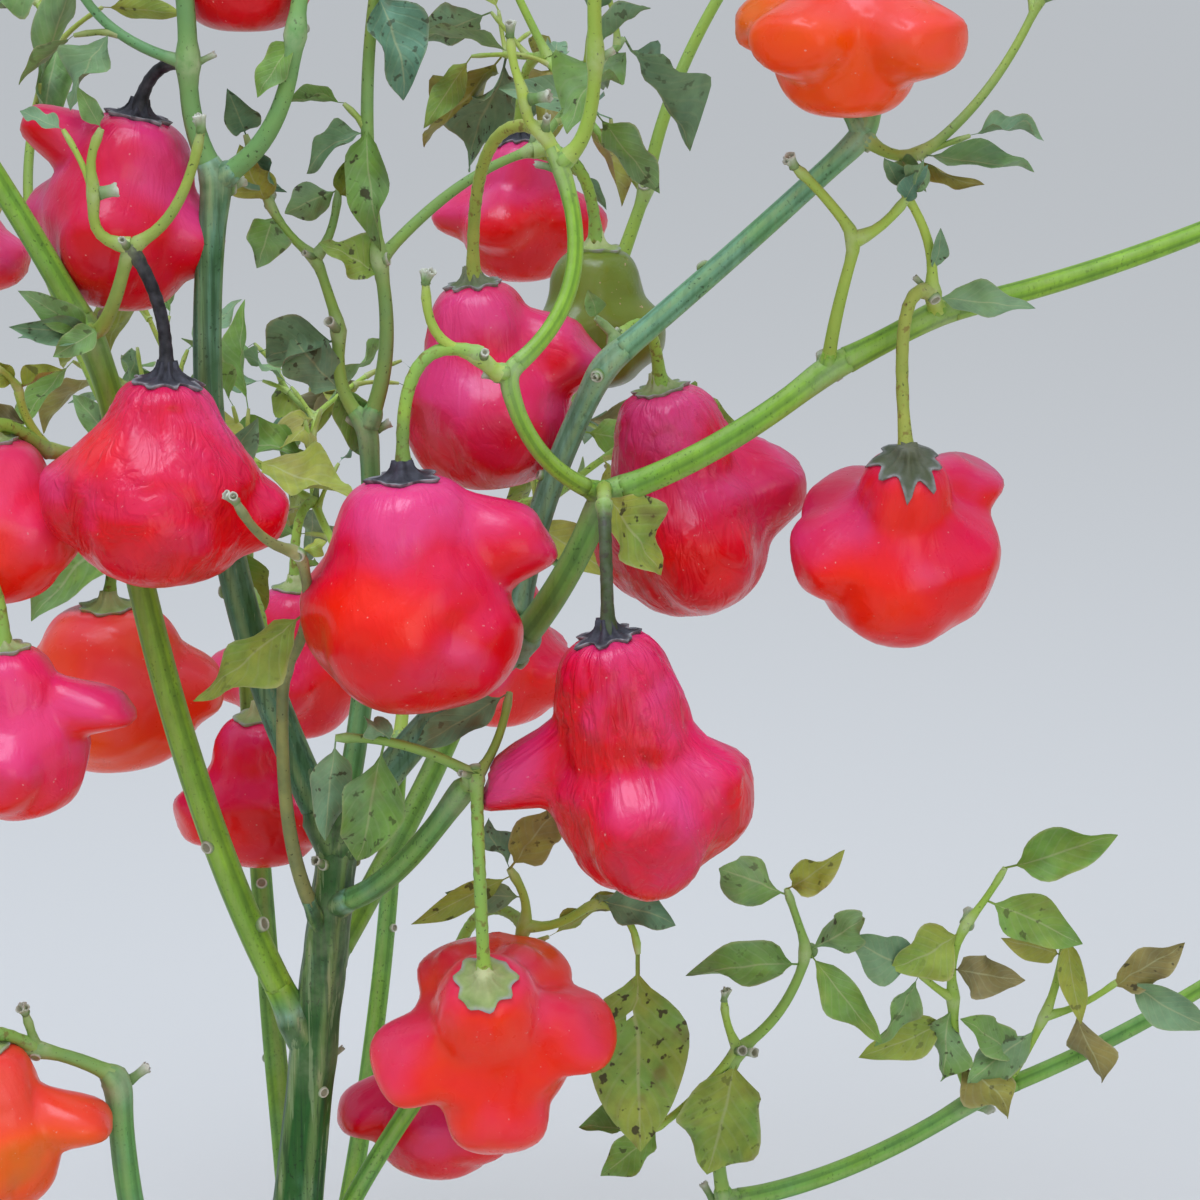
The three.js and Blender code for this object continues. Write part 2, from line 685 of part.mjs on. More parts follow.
    name: 'back_low_spray',
    bough: 'back_low_bough',
    seed: 131,
    twigs: [['stem', '', [36, 166, 316], [0, 0, -2], 2.2]],
    pods: [],
    leaves: [],
    shoots: [
      ['stem', [-0.5, 0.7, 0.4], 66, 2],
      ['stem', [0.7, 0.6, 0.4], 62, 1],
    ],
  },
  {
    name: 'front_left_spray',
    bough: 'front_left_bough',
    seed: 137,
    twigs: [['stem', '', [-108, -138, 272], [0, 0, -2], 2.1]],
    pods: [],
    leaves: [],
    shoots: [
      ['stem', [-0.8, -0.1, 0.6], 60, 1],
      ['stem', [-0.1, -0.8, 0.5], 62, 2],
    ],
  },
  {
    name: 'front_right_spray',
    bough: 'front_right_bough',
    seed: 139,
    twigs: [['stem', '', [126, -172, 202], [0, 0, 0], 2.1]],
    pods: [],
    leaves: [],
    shoots: [
      ['stem', [0.8, -0.3, 0.3], 62, 2],
      ['stem', [-0.2, -0.9, 0.2], 56, 1],
    ],
  },
];

// Gaps in the crown that stay open: one end, the other end and a radius.
const OPEN_GAPS = [
  [[95, -90, 400], [95, -420, 480], 118],
  [[215, -60, 390], [215, 160, 330], 48],
];

const UP = new THREE.Vector3(0, 0, 1);
const vector = ([x, y, z]) => new THREE.Vector3(x, y, z);
const radians = THREE.MathUtils.degToRad;

// A random number source that gives the same plant every time.
function randomFrom(seed) {
  let state = seed;
  return () => {
    state = (state * 1664525 + 1013904223) % 4294967296;
    return state / 4294967296;
  };
}

// A limb's middle line, from its foot to its tip, with its middle swung out by the bow.
function limbCurve(foot, tip, bow) {
  const control = foot.clone().add(tip).multiplyScalar(0.5).addScaledVector(bow, 2);
  return new THREE.QuadraticBezierCurve3(foot, control, tip);
}

// A perpendicular to a direction, level where it can be.
function across(direction) {
  const side = new THREE.Vector3().crossVectors(direction, UP);
  return side.length() < 0.05 ? new THREE.Vector3(1, 0, 0) : side.normalize();
}

// Distance between two straight stretches.
function stretchDistance(first, second) {
  const u = first.to.clone().sub(first.from);
  const v = second.to.clone().sub(second.from);
  const w = first.from.clone().sub(second.from);
  const a = u.dot(u);
  const b = u.dot(v);
  const c = v.dot(v);
  const d = u.dot(w);
  const e = v.dot(w);
  const level = a * c - b * b;
  const clamp = (value) => Math.min(1, Math.max(0, value));
  let s = level > 1e-9 ? clamp((b * e - c * d) / level) : 0;
  let t = c > 1e-9 ? (b * s + e) / c : 0;
  if (t < 0 || t > 1) {
    t = clamp(t);
    s = a > 1e-9 ? clamp((b * t - d) / a) : 0;
  }
  return w.addScaledVector(u, s).addScaledVector(v, -t).length();
}

// What stands where: every limb, leaf and pod as round-ended stretches with their owner.
const taken = OPEN_GAPS.map(([from, to, radius]) => ({
  owner: 'gap',
  kind: 'gap',
  from: vector(from),
  to: vector(to),
  radius,
}));

function limbStretches(owner, limb) {
  const points = limb.curve.getPoints(CURVE_STRETCHES);
  const radius = Math.max(limb.footRadius, limb.tipRadius);
  return points.slice(1).map((to, i) => ({ owner, kind: 'limb', from: points[i], to, radius }));
}

function leafStretches(owner, leaf) {
  const to = leaf.root.clone().add(leaf.reach);
  return [{ owner, kind: 'leaf', from: leaf.root, to, radius: leaf.width / 2 }];
}

function podStretches(owner, pod) {
  const longest = Math.max(...pod.lobes.map(([, , length]) => length));
  const radius = pod.width / 2 + LOBE_ROOM * longest;
  const from = pod.calyx.clone().addScaledVector(pod.axis, Math.min(radius, pod.height / 2));
  const low = pod.height - Math.min(radius, pod.height / 2);
  const to = pod.calyx.clone().addScaledVector(pod.axis, low);
  return [{ owner, kind: 'pod', from, to, radius }];
}

function stalkStretches(owner, pod) {
  const stalk = { curve: pod.stalk, footRadius: STALK_RADIUS, tipRadius: STALK_RADIUS };
  return limbStretches(owner, stalk);
}

// A stretch may touch its own spray, but a pod touches nothing and nothing touches a pod.
function isFree(stretches) {
  return stretches.every((mine) => taken.every((other) => {
    const withPod = mine.kind === 'pod' || other.kind === 'pod';
    if (other.owner === mine.owner && !withPod) return true;
    const room = mine.radius + other.radius + CLEARANCE;
    const lengths = mine.from.distanceTo(mine.to) + other.from.distanceTo(other.to);
    if (mine.from.distanceTo(other.from) - room > lengths) return true;
    return stretchDistance(mine, other) > room;
  }));
}

// The main stem, plumb at the ground and leaning to the right above.
function stemCurve() {
  const foot = new THREE.Vector3(0, 0, 0);
  const control = new THREE.Vector3(0, 0, STEM_PLUMB);
  const tip = new THREE.Vector3(STEM_LEAN, 0, FORK_HEIGHT);
  return new THREE.QuadraticBezierCurve3(foot, control, tip);
}

const limbs = new Map();
limbs.set('main_stem', {
  curve: stemCurve(),
  footRadius: STEM_RADIUS_LOW,
  tipRadius: STEM_RADIUS_TOP,
  arms: [],
});

const radiusOf = (limb, along) => THREE.MathUtils.lerp(limb.footRadius, limb.tipRadius, along);

// Something that will grow from a limb: where, which way and how thick.
function armOn(parentName, along, tip, bow, radius) {
  const parent = limbs.get(parentName);
  const place = parent.curve.getPoint(along);
  const heading = limbCurve(place, tip, bow).getTangent(0);
  const arm = { along, place, heading, radius, reach: 0 };
  parent.arms.push(arm);
  return arm;
}

// How long each arm is, so that what grows from it clears the limb and the other arms.
function setReaches(limb) {
  for (const arm of limb.arms) {
    arm.reach = arm.radius * ARM_LENGTH + ARM_END;
    if (arm.along < 1) {
      const tangent = limb.curve.getTangent(arm.along);
      const angle = tangent.angleTo(arm.heading);
      const clear = radiusOf(limb, arm.along) + arm.radius * Math.abs(Math.cos(angle)) + SIDE_ROOM;
      arm.reach = Math.max(arm.reach, clear / Math.sin(angle));
    }
    for (const other of limb.arms) {
      if (other === arm || other.along !== arm.along) continue;
      const angle = other.heading.angleTo(arm.heading);
      const room = (arm.radius + other.radius + CLEARANCE) / (2 * Math.sin(angle / 2));
      arm.reach = Math.max(arm.reach, room);
    }
  }
}

// Boughs and spray stems claim their arms first, and then get their lines.
const boughArms = new Map();
for (const [name, parentName, along, tip, bow, footRadius, tipRadius] of BOUGHS) {
  const arm = armOn(parentName, along, vector(tip), vector(bow), footRadius);
  boughArms.set(name, arm);
  const curve = limbCurve(arm.place, vector(tip), vector(bow));
  limbs.set(name, { curve, footRadius, tipRadius, arms: [] });
}
const stemArms = new Map();
for (const spray of SPRAYS) {
  const [, , tip, bow, radius] = spray.twigs[0];
  stemArms.set(spray.name, armOn(spray.bough, spray.along ?? 1, vector(tip), vector(bow), radius));
}
for (const limb of limbs.values()) setReaches(limb);

// The same line, started at the end of its arm.
function startAtArm(arm, tip, bow) {
  const full = limbCurve(arm.place, tip, bow);
  const foot = arm.place.clone().addScaledVector(arm.heading, arm.reach + GAP);
  return new THREE.QuadraticBezierCurve3(foot, full.v1, tip);
}

for (const [name, , , tip, bow] of BOUGHS) {
  limbs.get(name).curve = startAtArm(boughArms.get(name), vector(tip), vector(bow));
}
for (const [name, limb] of limbs) {
  taken.push(...limbStretches(name, limb));
  for (const arm of limb.arms) {
    const to = arm.place.clone().addScaledVector(arm.heading, arm.reach);
    taken.push({ owner: name, kind: 'limb', from: arm.place, to, radius: arm.radius });
  }
}

const makeTwig = (curve, radius, parent, steps) => ({
  curve,
  footRadius: radius,
  tipRadius: radius * TWIG_TAPER,
  parent,
  steps,
});

// A leaf's root on the middle line of its twig's straight steps, a little back from the tip.
function leafRoot(twig, along) {
  const length = twig.curve.v0.distanceTo(twig.curve.v2);
  const place = Math.min(along, 1 - LEAF_ROOT_BACK / length) * twig.steps;
  const step = Math.min(Math.floor(place), twig.steps - 1);
  const from = twig.curve.getPoint(step / twig.steps);
  return from.lerp(twig.curve.getPoint((step + 1) / twig.steps), place - step);
}

// The named twigs, pods and leaves of each spray.
function plantSpray(spray) {
  const plan = { name: spray.name, twigs: new Map(), pods: [], leaves: [] };
  plan.random = randomFrom(spray.seed);
  for (const [name, parentName, tip, bow, radius] of spray.twigs) {
    const parent = plan.twigs.get(parentName);
    const curve = parent
      ? limbCurve(parent.curve.v2, vector(tip), vector(bow))
      : startAtArm(stemArms.get(spray.name), vector(tip), vector(bow));
    const twig = makeTwig(curve, radius, parent, TWIG_STEPS);
    plan.twigs.set(name, twig);
    taken.push(...limbStretches(spray.name, twig));
  }
  for (const [twigName, calyx, bow, lean, sizes, lobes] of spray.pods) {
    const [width, height, dome, waist, spread] = sizes;
    const foot = plan.twigs.get(twigName).curve.v2;
    const axis = new THREE.Vector3(lean[0], lean[1], lean[2] - 1).normalize();
    const stalk = limbCurve(foot, vector(calyx), vector(bow));
    const body = { width, height, dome, waist, spread };
    const pod = { stalk, calyx: vector(calyx), axis, ...body, lobes };
    plan.pods.push(pod);
    taken.push(...podStretches(spray.name, pod), ...stalkStretches(spray.name, pod));
  }
  for (const [twigName, along, reach, width] of spray.leaves) {
    const leaf = { root: leafRoot(plan.twigs.get(twigName), along), reach: vector(reach), width };
    plan.leaves.push(leaf);
    taken.push(...leafStretches(spray.name, leaf));
  }
  return plan;
}

const plans = SPRAYS.map(plantSpray);

const between = ([low, high], share) => low + (high - low) * share;

// One more leaf from a twig, where there is room for it.
function addLeaf(plan, twig, along, share) {
  const turn = 2 * Math.PI * plan.random();
  const droop = radians(between(LEAF_DROOP, plan.random()));
  const length = between(LEAF_LENGTH, plan.random()) * share;
  const root = leafRoot(twig, along);
  const reach = new THREE.Vector3(
    Math.cos(turn) * Math.cos(droop) * length,
    Math.sin(turn) * Math.cos(droop) * length,
    -Math.sin(droop) * length,
  );
  const leaf = { root, reach, width: length * LEAF_WIDTH };
  const stretches = leafStretches(plan.name, leaf);
  if (root.z + reach.z < GROUND_CLEAR || !isFree(stretches)) return;
  plan.leaves.push(leaf);
  taken.push(...stretches);
}

// One more pod, hung from the end of a twig on a stalk that arches over.
function addPod(plan, twig) {
  const turn = 2 * Math.PI * plan.random();
  const drop = between(STALK_LENGTH, plan.random());
  const width = between(POD_WIDTH, plan.random());
  const count = plan.random() < MORE_LOBES_CHANCE ? FEWEST_LOBES : FEWEST_LOBES + 1;
  const spin = (360 / count) * plan.random();
  const lobes = Array.from({ length: count }, (_, i) => [
    spin + (360 / count) * i,
    between(LOBE_PLACE, plan.random()),
    between(LOBE_LENGTH, plan.random()),
    LOBE_SIZE,
  ]);
  const foot = twig.curve.v2;
  const way = new THREE.Vector3(Math.cos(turn), Math.sin(turn), 0);
  const outward = way.multiplyScalar(drop * STALK_OUT);
  const calyx = foot.clone().add(outward).addScaledVector(UP, -drop * STALK_DOWN);
  const bow = outward.clone().addScaledVector(UP, drop).multiplyScalar(STALK_ARCH);
  const pod = {
    stalk: limbCurve(foot, calyx, bow),
    calyx,
    axis: new THREE.Vector3(0, 0, -1),
    width,
    height: width * POD_HEIGHT,
    dome: POD_DOME,
    waist: POD_WAIST,
    spread: WAIST_SPREAD,
    lobes,
  };
  const stretches = podStretches(plan.name, pod);
  if (calyx.z - pod.height < GROUND_CLEAR || !isFree(stretches)) return;
  plan.pods.push(pod);
  taken.push(...stretches, ...stalkStretches(plan.name, pod));
}

// A twig that forks again and again, until its last arms end in a tuft of leaves.
function growShoot(plan, parent, heading, length, radius, forks) {
  const foot = parent.curve.v2;
  const lift = UPWARD * length * plan.random();
  const swing = between(SWING, plan.random()) * length;
  const tip = foot.clone().addScaledVector(heading, length).addScaledVector(UP, lift);
  const bow = across(heading).multiplyScalar(swing);
  const curve = limbCurve(foot, tip, bow);
  const twig = makeTwig(curve, radius, parent, GROWN_STEPS);
  const stretches = limbStretches(plan.name, twig);
  if (!isFree(stretches)) return;
  plan.twigs.set(`grown_${plan.twigs.size}`, twig);
  taken.push(...stretches);
  if (plan.random() < SIDE_LEAF_CHANCE) addLeaf(plan, twig, ...SIDE_LEAF);
  if (forks === 0) {
    for (let i = 0; i < TIP_LEAVES; i += 1) addLeaf(plan, twig, 1 - TIP_LEAF_STEP * i, 1);
    return;
  }
  if (plan.random() < POD_CHANCE) addPod(plan, twig);
  addLeaf(plan, twig, ...FORK_LEAF);
  const spin = Math.PI * plan.random();
  const side = across(heading).applyAxisAngle(heading.clone().normalize(), spin);
  for (const sign of [1, -1]) {
    const angle = radians(FORK_ANGLE * between(FORK_ANGLE_SHARE, plan.random())) * sign;
    const arm = heading.clone().multiplyScalar(Math.cos(angle));
    arm.addScaledVector(side, Math.sin(angle)).normalize();
    const armLength = length * FORK_SHORTER * between(ARM_LENGTH_SHARE, plan.random());
    if (sign < 0 && plan.random() < BARREN_CHANCE) continue;
    growShoot(plan, twig, arm, armLength, radius * TWIG_TAPER, forks - 1);
  }
}

SPRAYS.forEach((spray, i) => {
  for (const [twigName, heading, length, forks] of spray.shoots) {
    const from = plans[i].twigs.get(twigName);
    const way = vector(heading).normalize();
    growShoot(plans[i], from, way, length, from.tipRadius, forks);
  }
});

// Solids.
const wasm = await Module();
wasm.setup();

function solidOf(geometry) {
  geometry.deleteAttribute('normal');
  geometry.deleteAttribute('uv');
  const merged = mergeVertices(geometry, 1e-4);
  const vertProperties = new Float32Array(merged.attributes.position.array);
  const triVerts = new Uint32Array(merged.index.array);
  const mesh = new wasm.Mesh({ numProp: 3, vertProperties, triVerts });
  mesh.merge();
  return new wasm.Manifold(mesh);
}

// A closed cylinder with one ring of its vertices round each of the points. Its foot is cut
// square to the heading.
function bentCylinder(points, radiusAt, sides, heading) {
  const steps = points.length - 1;
  const geometry = new THREE.CylinderGeometry(1, 1, 1, sides, steps);
  const tangents = points.map((point, i) => {
    const before = points[Math.max(0, i - 1)];
    const after = points[Math.min(steps, i + 1)];
    return after.clone().sub(before).normalize();
  });
  tangents[0] = heading ?? tangents[0];
  const rights = [across(tangents[0])];
  for (let i = 1; i <= steps; i += 1) {
    const right = rights[i - 1].clone();
    rights.push(right.addScaledVector(tangents[i], -right.dot(tangents[i])).normalize());
  }
  const position = geometry.attributes.position;
  for (let i = 0; i < position.count; i += 1) {
    const ring = Math.round((position.getY(i) + 0.5) * steps);
    const front = new THREE.Vector3().crossVectors(rights[ring], tangents[ring]);
    const angle = Math.atan2(position.getZ(i), position.getX(i));
    const radius = radiusAt(ring, angle);
    const point = points[ring].clone();
    point.addScaledVector(rights[ring], position.getX(i) * radius);
    point.addScaledVector(front, position.getZ(i) * radius);
    position.setXYZ(i, point.x, point.y, point.z);
  }
  return geometry;
}

// The main stem: its rings stand closer at the ground, where the root flare's ridges fade.
function stemSolid(limb) {
  const shares = Array.from({ length: STEM_RINGS + 1 }, (_, i) => i / STEM_RINGS);
  const places = shares.map((share) => share ** STEM_RING_CROWDING);
  const points = places.map((along) => limb.curve.getPoint(along));
  const radiusAt = (ring, angle) => {
    const fade = Math.exp(-points[ring].z / FLARE_HEIGHT);
    const ridge = 1 + RIDGE * Math.cos(FLARE_RIDGES * angle);
    return radiusOf(limb, places[ring]) + FLARE * fade * ridge;
  };
  const geometry = bentCylinder(points, radiusAt, STEM_SIDES);
  const position = geometry.attributes.position;
  for (let i = 0; i < position.count; i += 1) {
    if (position.getZ(i) < 1) position.setZ(i, 0);
  }
  return solidOf(geometry);
}

const armEnd = (arm) => arm.place.clone().addScaledVector(arm.heading, arm.reach);

// A bough runs on into the first arm of its fork. The other arms are joined to it.
function boughSolid(name, limb) {
  const isStem = name === 'main_stem';
  const runsOn = isStem ? null : limb.arms[0];
  let solid;
  if (isStem) {
    solid = stemSolid(limb);
  } else {
    const points = limb.curve.getPoints(BOUGH_STEPS);
    const radii = points.map((_, i) => radiusOf(limb, i / BOUGH_STEPS));
    const { heading } = boughArms.get(name);
    if (runsOn) {
      points.push(armEnd(runsOn));
      radii.push(runsOn.radius);
    }
    solid = solidOf(bentCylinder(points, (ring) => radii[ring], BOUGH_SIDES, heading));
  }
  for (const arm of limb.arms) {
    if (arm === runsOn) continue;
    const line = [arm.place, armEnd(arm)];
    solid = solid.add(solidOf(bentCylinder(line, () => arm.radius, BOUGH_SIDES)));
  }
  return solid;
}

// How far from its axis and how far down a pod's skin is: a dome under the calyx, wider below
// its waist, with blunt lobes that stand out and sag.
function podSkin(pod, height, angle) {
  const { smoothstep, lerp } = THREE.MathUtils;
  const turnOut = smoothstep(height, pod.waist - pod.spread, pod.waist + pod.spread);
  const cap = (2 * Math.sqrt(height * (1 - height))) ** lerp(DOME_BLUNT, TIP_BLUNT, height);
  const body = (pod.width / 2) * cap * lerp(pod.dome, 1, turnOut);
  let lobed = 0;
  let sag = 0;
  for (const [turn, place, length, size, droop = LOBE_DROOP] of pod.lobes) {
    const wide = radians(turn) - angle;
    const away = Math.atan2(Math.sin(wide), Math.cos(wide)) / (LOBE_TURN * size);
    const above = (height - place) / (LOBE_RISE * size);
    const outward = length * Math.exp(-((away ** 2 + above ** 2) ** LOBE_BLUNT));
    lobed += outward;
    sag += droop * outward;
  }
  return { radius: body + lobed, drop: pod.height * height + sag };
}

// The pod's lines of corners run down its lobes and between them.
function cornerAngle(pod, share) {
  const place = share * pod.lobes.length;
  const before = Math.floor(place);
  const turns = pod.lobes.map(([turn]) => turn);
  const from = turns[before % turns.length];
  const to = turns[(before + 1) % turns.length];
  const gap = (((to - from) % 360) + 360) % 360;
  return radians(from + gap * (place - before));
}

function podSolid(pod, rings) {
  const sides = POD_CORNERS[pod.lobes.length];
  const geometry = new THREE.SphereGeometry(1, sides, rings);
  const up = pod.axis.clone().negate();
  const right = new THREE.Vector3(1, 0, 0);
  right.addScaledVector(up, -right.dot(up)).normalize();
  const front = new THREE.Vector3().crossVectors(right, up);
  const position = geometry.attributes.position;
  for (let i = 0; i < position.count; i += 1) {
    const height = THREE.MathUtils.clamp((1 - position.getY(i)) / 2, 0, 1);
    const share = Math.atan2(position.getZ(i), position.getX(i)) / (2 * Math.PI);
    const angle = cornerAngle(pod, (Math.round((share + 1) * sides) % sides) / sides);
    const isEnd = height < 0.001 || height > 0.999;
    const skin = isEnd ? { radius: 0, drop: pod.height * height } : podSkin(pod, height, angle);
    const point = pod.calyx.clone().addScaledVector(pod.axis, skin.drop);
    point.addScaledVector(right, Math.cos(angle) * skin.radius);
    point.addScaledVector(front, Math.sin(angle) * skin.radius);
    position.setXYZ(i, point.x, point.y, point.z);
  }
  const stalkEnd = pod.calyx.clone().addScaledVector(pod.axis, STALK_INTO_POD);
  const points = [...pod.stalk.getPoints(STALK_STEPS), stalkEnd];
  const swell = (ring) => STALK_RADIUS * (STALK_THINNEST + (STALK_SWELL * ring) / STALK_STEPS);
  return solidOf(geometry).add(solidOf(bentCylinder(points, swell, TWIG_SIDES)));
}

// A leaf: its root, its tip and its two edges, folded up along the middle.
function leafSolid(leaf) {
  const length = leaf.reach.length();
  const way = leaf.reach.clone().normalize();
  const side = across(way);
  const face = new THREE.Vector3().crossVectors(side, way);
  const tip = leaf.root.clone().add(leaf.reach);
  const middle = leaf.root.clone().addScaledVector(way, LEAF_WIDEST * length);
  middle.addScaledVector(face, LEAF_FOLD * length);
  const left = middle.clone().addScaledVector(side, -leaf.width / 2);
  const right = middle.clone().addScaledVector(side, leaf.width / 2);
  const corners = [leaf.root, tip, left, right].flatMap((corner) => corner.toArray());
  const geometry = new THREE.BufferGeometry();
  geometry.setAttribute('position', new THREE.Float32BufferAttribute(corners, 3));
  geometry.setIndex([0, 2, 1, 0, 1, 3, 0, 3, 2, 1, 2, 3]);
  return solidOf(geometry);
}

// Twigs in chains: a twig runs on into the first one that grows from its tip.
function twigChains(plan) {
  const chains = new Map();
  const runOn = new Set();
  for (const twig of plan.twigs.values()) {
    const chain = twig.parent && !runOn.has(twig.parent) ? chains.get(twig.parent) : [];
    if (chain.length > 0) runOn.add(twig.parent);
    chain.push(twig);
    chains.set(twig, chain);
  }
  return new Set(chains.values());
}

function chainSolid(chain, heading) {
  const points = [chain[0].curve.v0];
  const radii = [chain[0].footRadius];
  for (const twig of chain) {
    for (let i = 1; i <= twig.steps; i += 1) {
      points.push(twig.curve.getPoint(i / twig.steps));
      radii.push(radiusOf(twig, i / twig.steps));
    }
  }
  return solidOf(bentCylinder(points, (ring) => radii[ring], TWIG_SIDES, heading));
}

function spraySolid(plan, namedPods) {
  const { heading } = stemArms.get(plan.name);
  const pieces = [
    ...[...twigChains(plan)].map((chain, i) => chainSolid(chain, i === 0 ? heading : undefined)),
    ...plan.pods.map((pod, i) => podSolid(pod, i < namedPods ? POD_RINGS : GROWN_POD_RINGS)),
    ...plan.leaves.map(leafSolid),
  ];
  return pieces.reduce((solid, piece) => solid.add(piece));
}

function meshOf(name, solid, colour, roughness) {
  const raw = solid.getMesh();
  const geometry = new THREE.BufferGeometry();
  geometry.setAttribute('position', new THREE.BufferAttribute(raw.vertProperties, 3));
  geometry.setIndex(new THREE.BufferAttribute(raw.triVerts, 1));
  geometry.computeVertexNormals();
  const material = new THREE.MeshStandardMaterial({ color: colour, roughness, metalness: 0 });
  const mesh = new THREE.Mesh(geometry, material);
  mesh.name = name;
  return mesh;
}

const STEM_GREEN = '#3d7a3c';
const BOUGH_GREEN = '#7fae45';
const LEAF_GREEN = '#6f8f4c';
const POD_RED = '#cf1f35';
const LIMB_ROUGHNESS = 0.6;
const SPRAY_ROUGHNESS = 0.5;
const LEAVES_TO_A_POD = 8; // with fewer leaves than this to each pod a spray looks red

const plant = new THREE.Group();
for (const [name, limb] of limbs) {
  const colour = name === 'main_stem' ? STEM_GREEN : BOUGH_GREEN;
  plant.add(meshOf(name, boughSolid(name, limb), colour, LIMB_ROUGHNESS));
}
plans.forEach((plan, i) => {
  const mostlyPod = plan.pods.length * LEAVES_TO_A_POD > plan.leaves.length;
  const solid = spraySolid(plan, SPRAYS[i].pods.length);
  plant.add(meshOf(plan.name, solid, mostlyPod ? POD_RED : LEAF_GREEN, SPRAY_ROUGHNESS));
});

export default plant;
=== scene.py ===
# %% [markdown]
# # A chilli pepper plant in autumn
# This lesson dresses a plain solid model of a pepper plant. The plant forks again and again,
# is hung with lobed, bell-shaped pods, and keeps only its last leaves. The solid model has few
# faces. Here each stem, pod and leaf is drawn again, finely, in the same place.

import json
import math

import bpy
import numpy as np
from mathutils import Matrix, Vector
from mathutils import noise as chance_field

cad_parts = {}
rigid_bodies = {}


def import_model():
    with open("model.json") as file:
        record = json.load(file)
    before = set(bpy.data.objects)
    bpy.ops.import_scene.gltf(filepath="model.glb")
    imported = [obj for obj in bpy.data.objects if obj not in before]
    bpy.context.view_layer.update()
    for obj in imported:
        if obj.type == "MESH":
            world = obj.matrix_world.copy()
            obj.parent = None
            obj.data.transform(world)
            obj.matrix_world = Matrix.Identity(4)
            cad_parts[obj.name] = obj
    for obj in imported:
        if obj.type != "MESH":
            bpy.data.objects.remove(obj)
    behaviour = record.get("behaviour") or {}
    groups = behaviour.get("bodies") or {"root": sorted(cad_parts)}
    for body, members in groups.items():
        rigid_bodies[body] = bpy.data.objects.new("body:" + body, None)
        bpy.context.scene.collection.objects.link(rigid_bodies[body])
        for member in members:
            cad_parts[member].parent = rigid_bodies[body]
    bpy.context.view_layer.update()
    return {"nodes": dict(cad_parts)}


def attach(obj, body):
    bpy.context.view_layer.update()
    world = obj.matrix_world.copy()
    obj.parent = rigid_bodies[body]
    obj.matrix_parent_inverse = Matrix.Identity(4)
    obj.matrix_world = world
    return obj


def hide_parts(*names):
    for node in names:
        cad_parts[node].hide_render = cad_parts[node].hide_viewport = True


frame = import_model()
MM = 0.001
print("solids loaded:", len(frame["nodes"]))

# %% [markdown]
# ## Step 1: the plant as tables of sizes
# A plant can be grown wholly by chance, or drawn limb by limb. Here it is both. The limbs that
# show from the front are named with the places of their tips, and everything further out grows
# by a rule. All lengths are in millimetres from the foot of the plant, Z points up and the
# viewer looks along +Y.

# %% Sizes of the limbs
GAP = 0.3  # between two solids
CLEARANCE = 0.6  # that the rule keeps between a new piece and the rest
FORK_HEIGHT = 303
STEM_LEAN = 28
STEM_PLUMB = 110  # the stem is upright up to here
STEM_RADIUS_LOW = 11
STEM_RADIUS_TOP = 5.1
FLARE = 7  # by which the foot is wider
FLARE_HEIGHT = 13
FLARE_RIDGES = 5
SIDE_ROOM = 2  # by which a side arm stands out from its limb
ARM_LENGTH = 1.1  # of an arm, beside its radius
ARM_END = 0.6
STRETCHES = 3  # into which a limb is cut to see whether it is clear

# %% Sizes of what the rule grows
GROUND_CLEAR = 45
FORK_ANGLE = 34  # degrees from the parent twig
FORK_ANGLE_SHARE = (0.75, 1.2)
FORK_SHORTER = 0.8
ARM_LENGTH_SHARE = (0.85, 1.15)
TWIG_TAPER = 0.78
TWIG_SWING = (-0.1, 0.1)  # sideways, beside its length
UPWARD = 0.22  # by which a shoot rises, beside its length
BARREN_CHANCE = 0.3  # that a fork has one arm only
SIDE_LEAF_CHANCE = 0.3
TIP_LEAVES = 2
LEAF_LENGTH = (32, 54)
LEAF_DROOP = (-15, 60)  # degrees
LEAF_WIDTH = 0.44
LEAF_ROOT_BACK = 1.5
POD_CHANCE = 0.75
POD_WIDTH = (36, 46)
POD_HEIGHT = 1.16
POD_DOME, POD_WAIST, WAIST_SPREAD = 0.76, 0.42, 0.12
DOME_BLUNT, TIP_BLUNT = 0.5, 0.62
STALK_LENGTH = (26, 38)
STALK_RADIUS = 1.9
LOBE_TURN, LOBE_RISE, LOBE_BLUNT, LOBE_DROOP = 0.6, 0.22, 2.7, 0.12
LOBE_LENGTH = (5, 10)
LOBE_PLACE = (0.5, 0.68)
LOBE_SIZE = 0.9
LOBE_ROOM = 0.4  # share of the longest lobe that a pod keeps clear
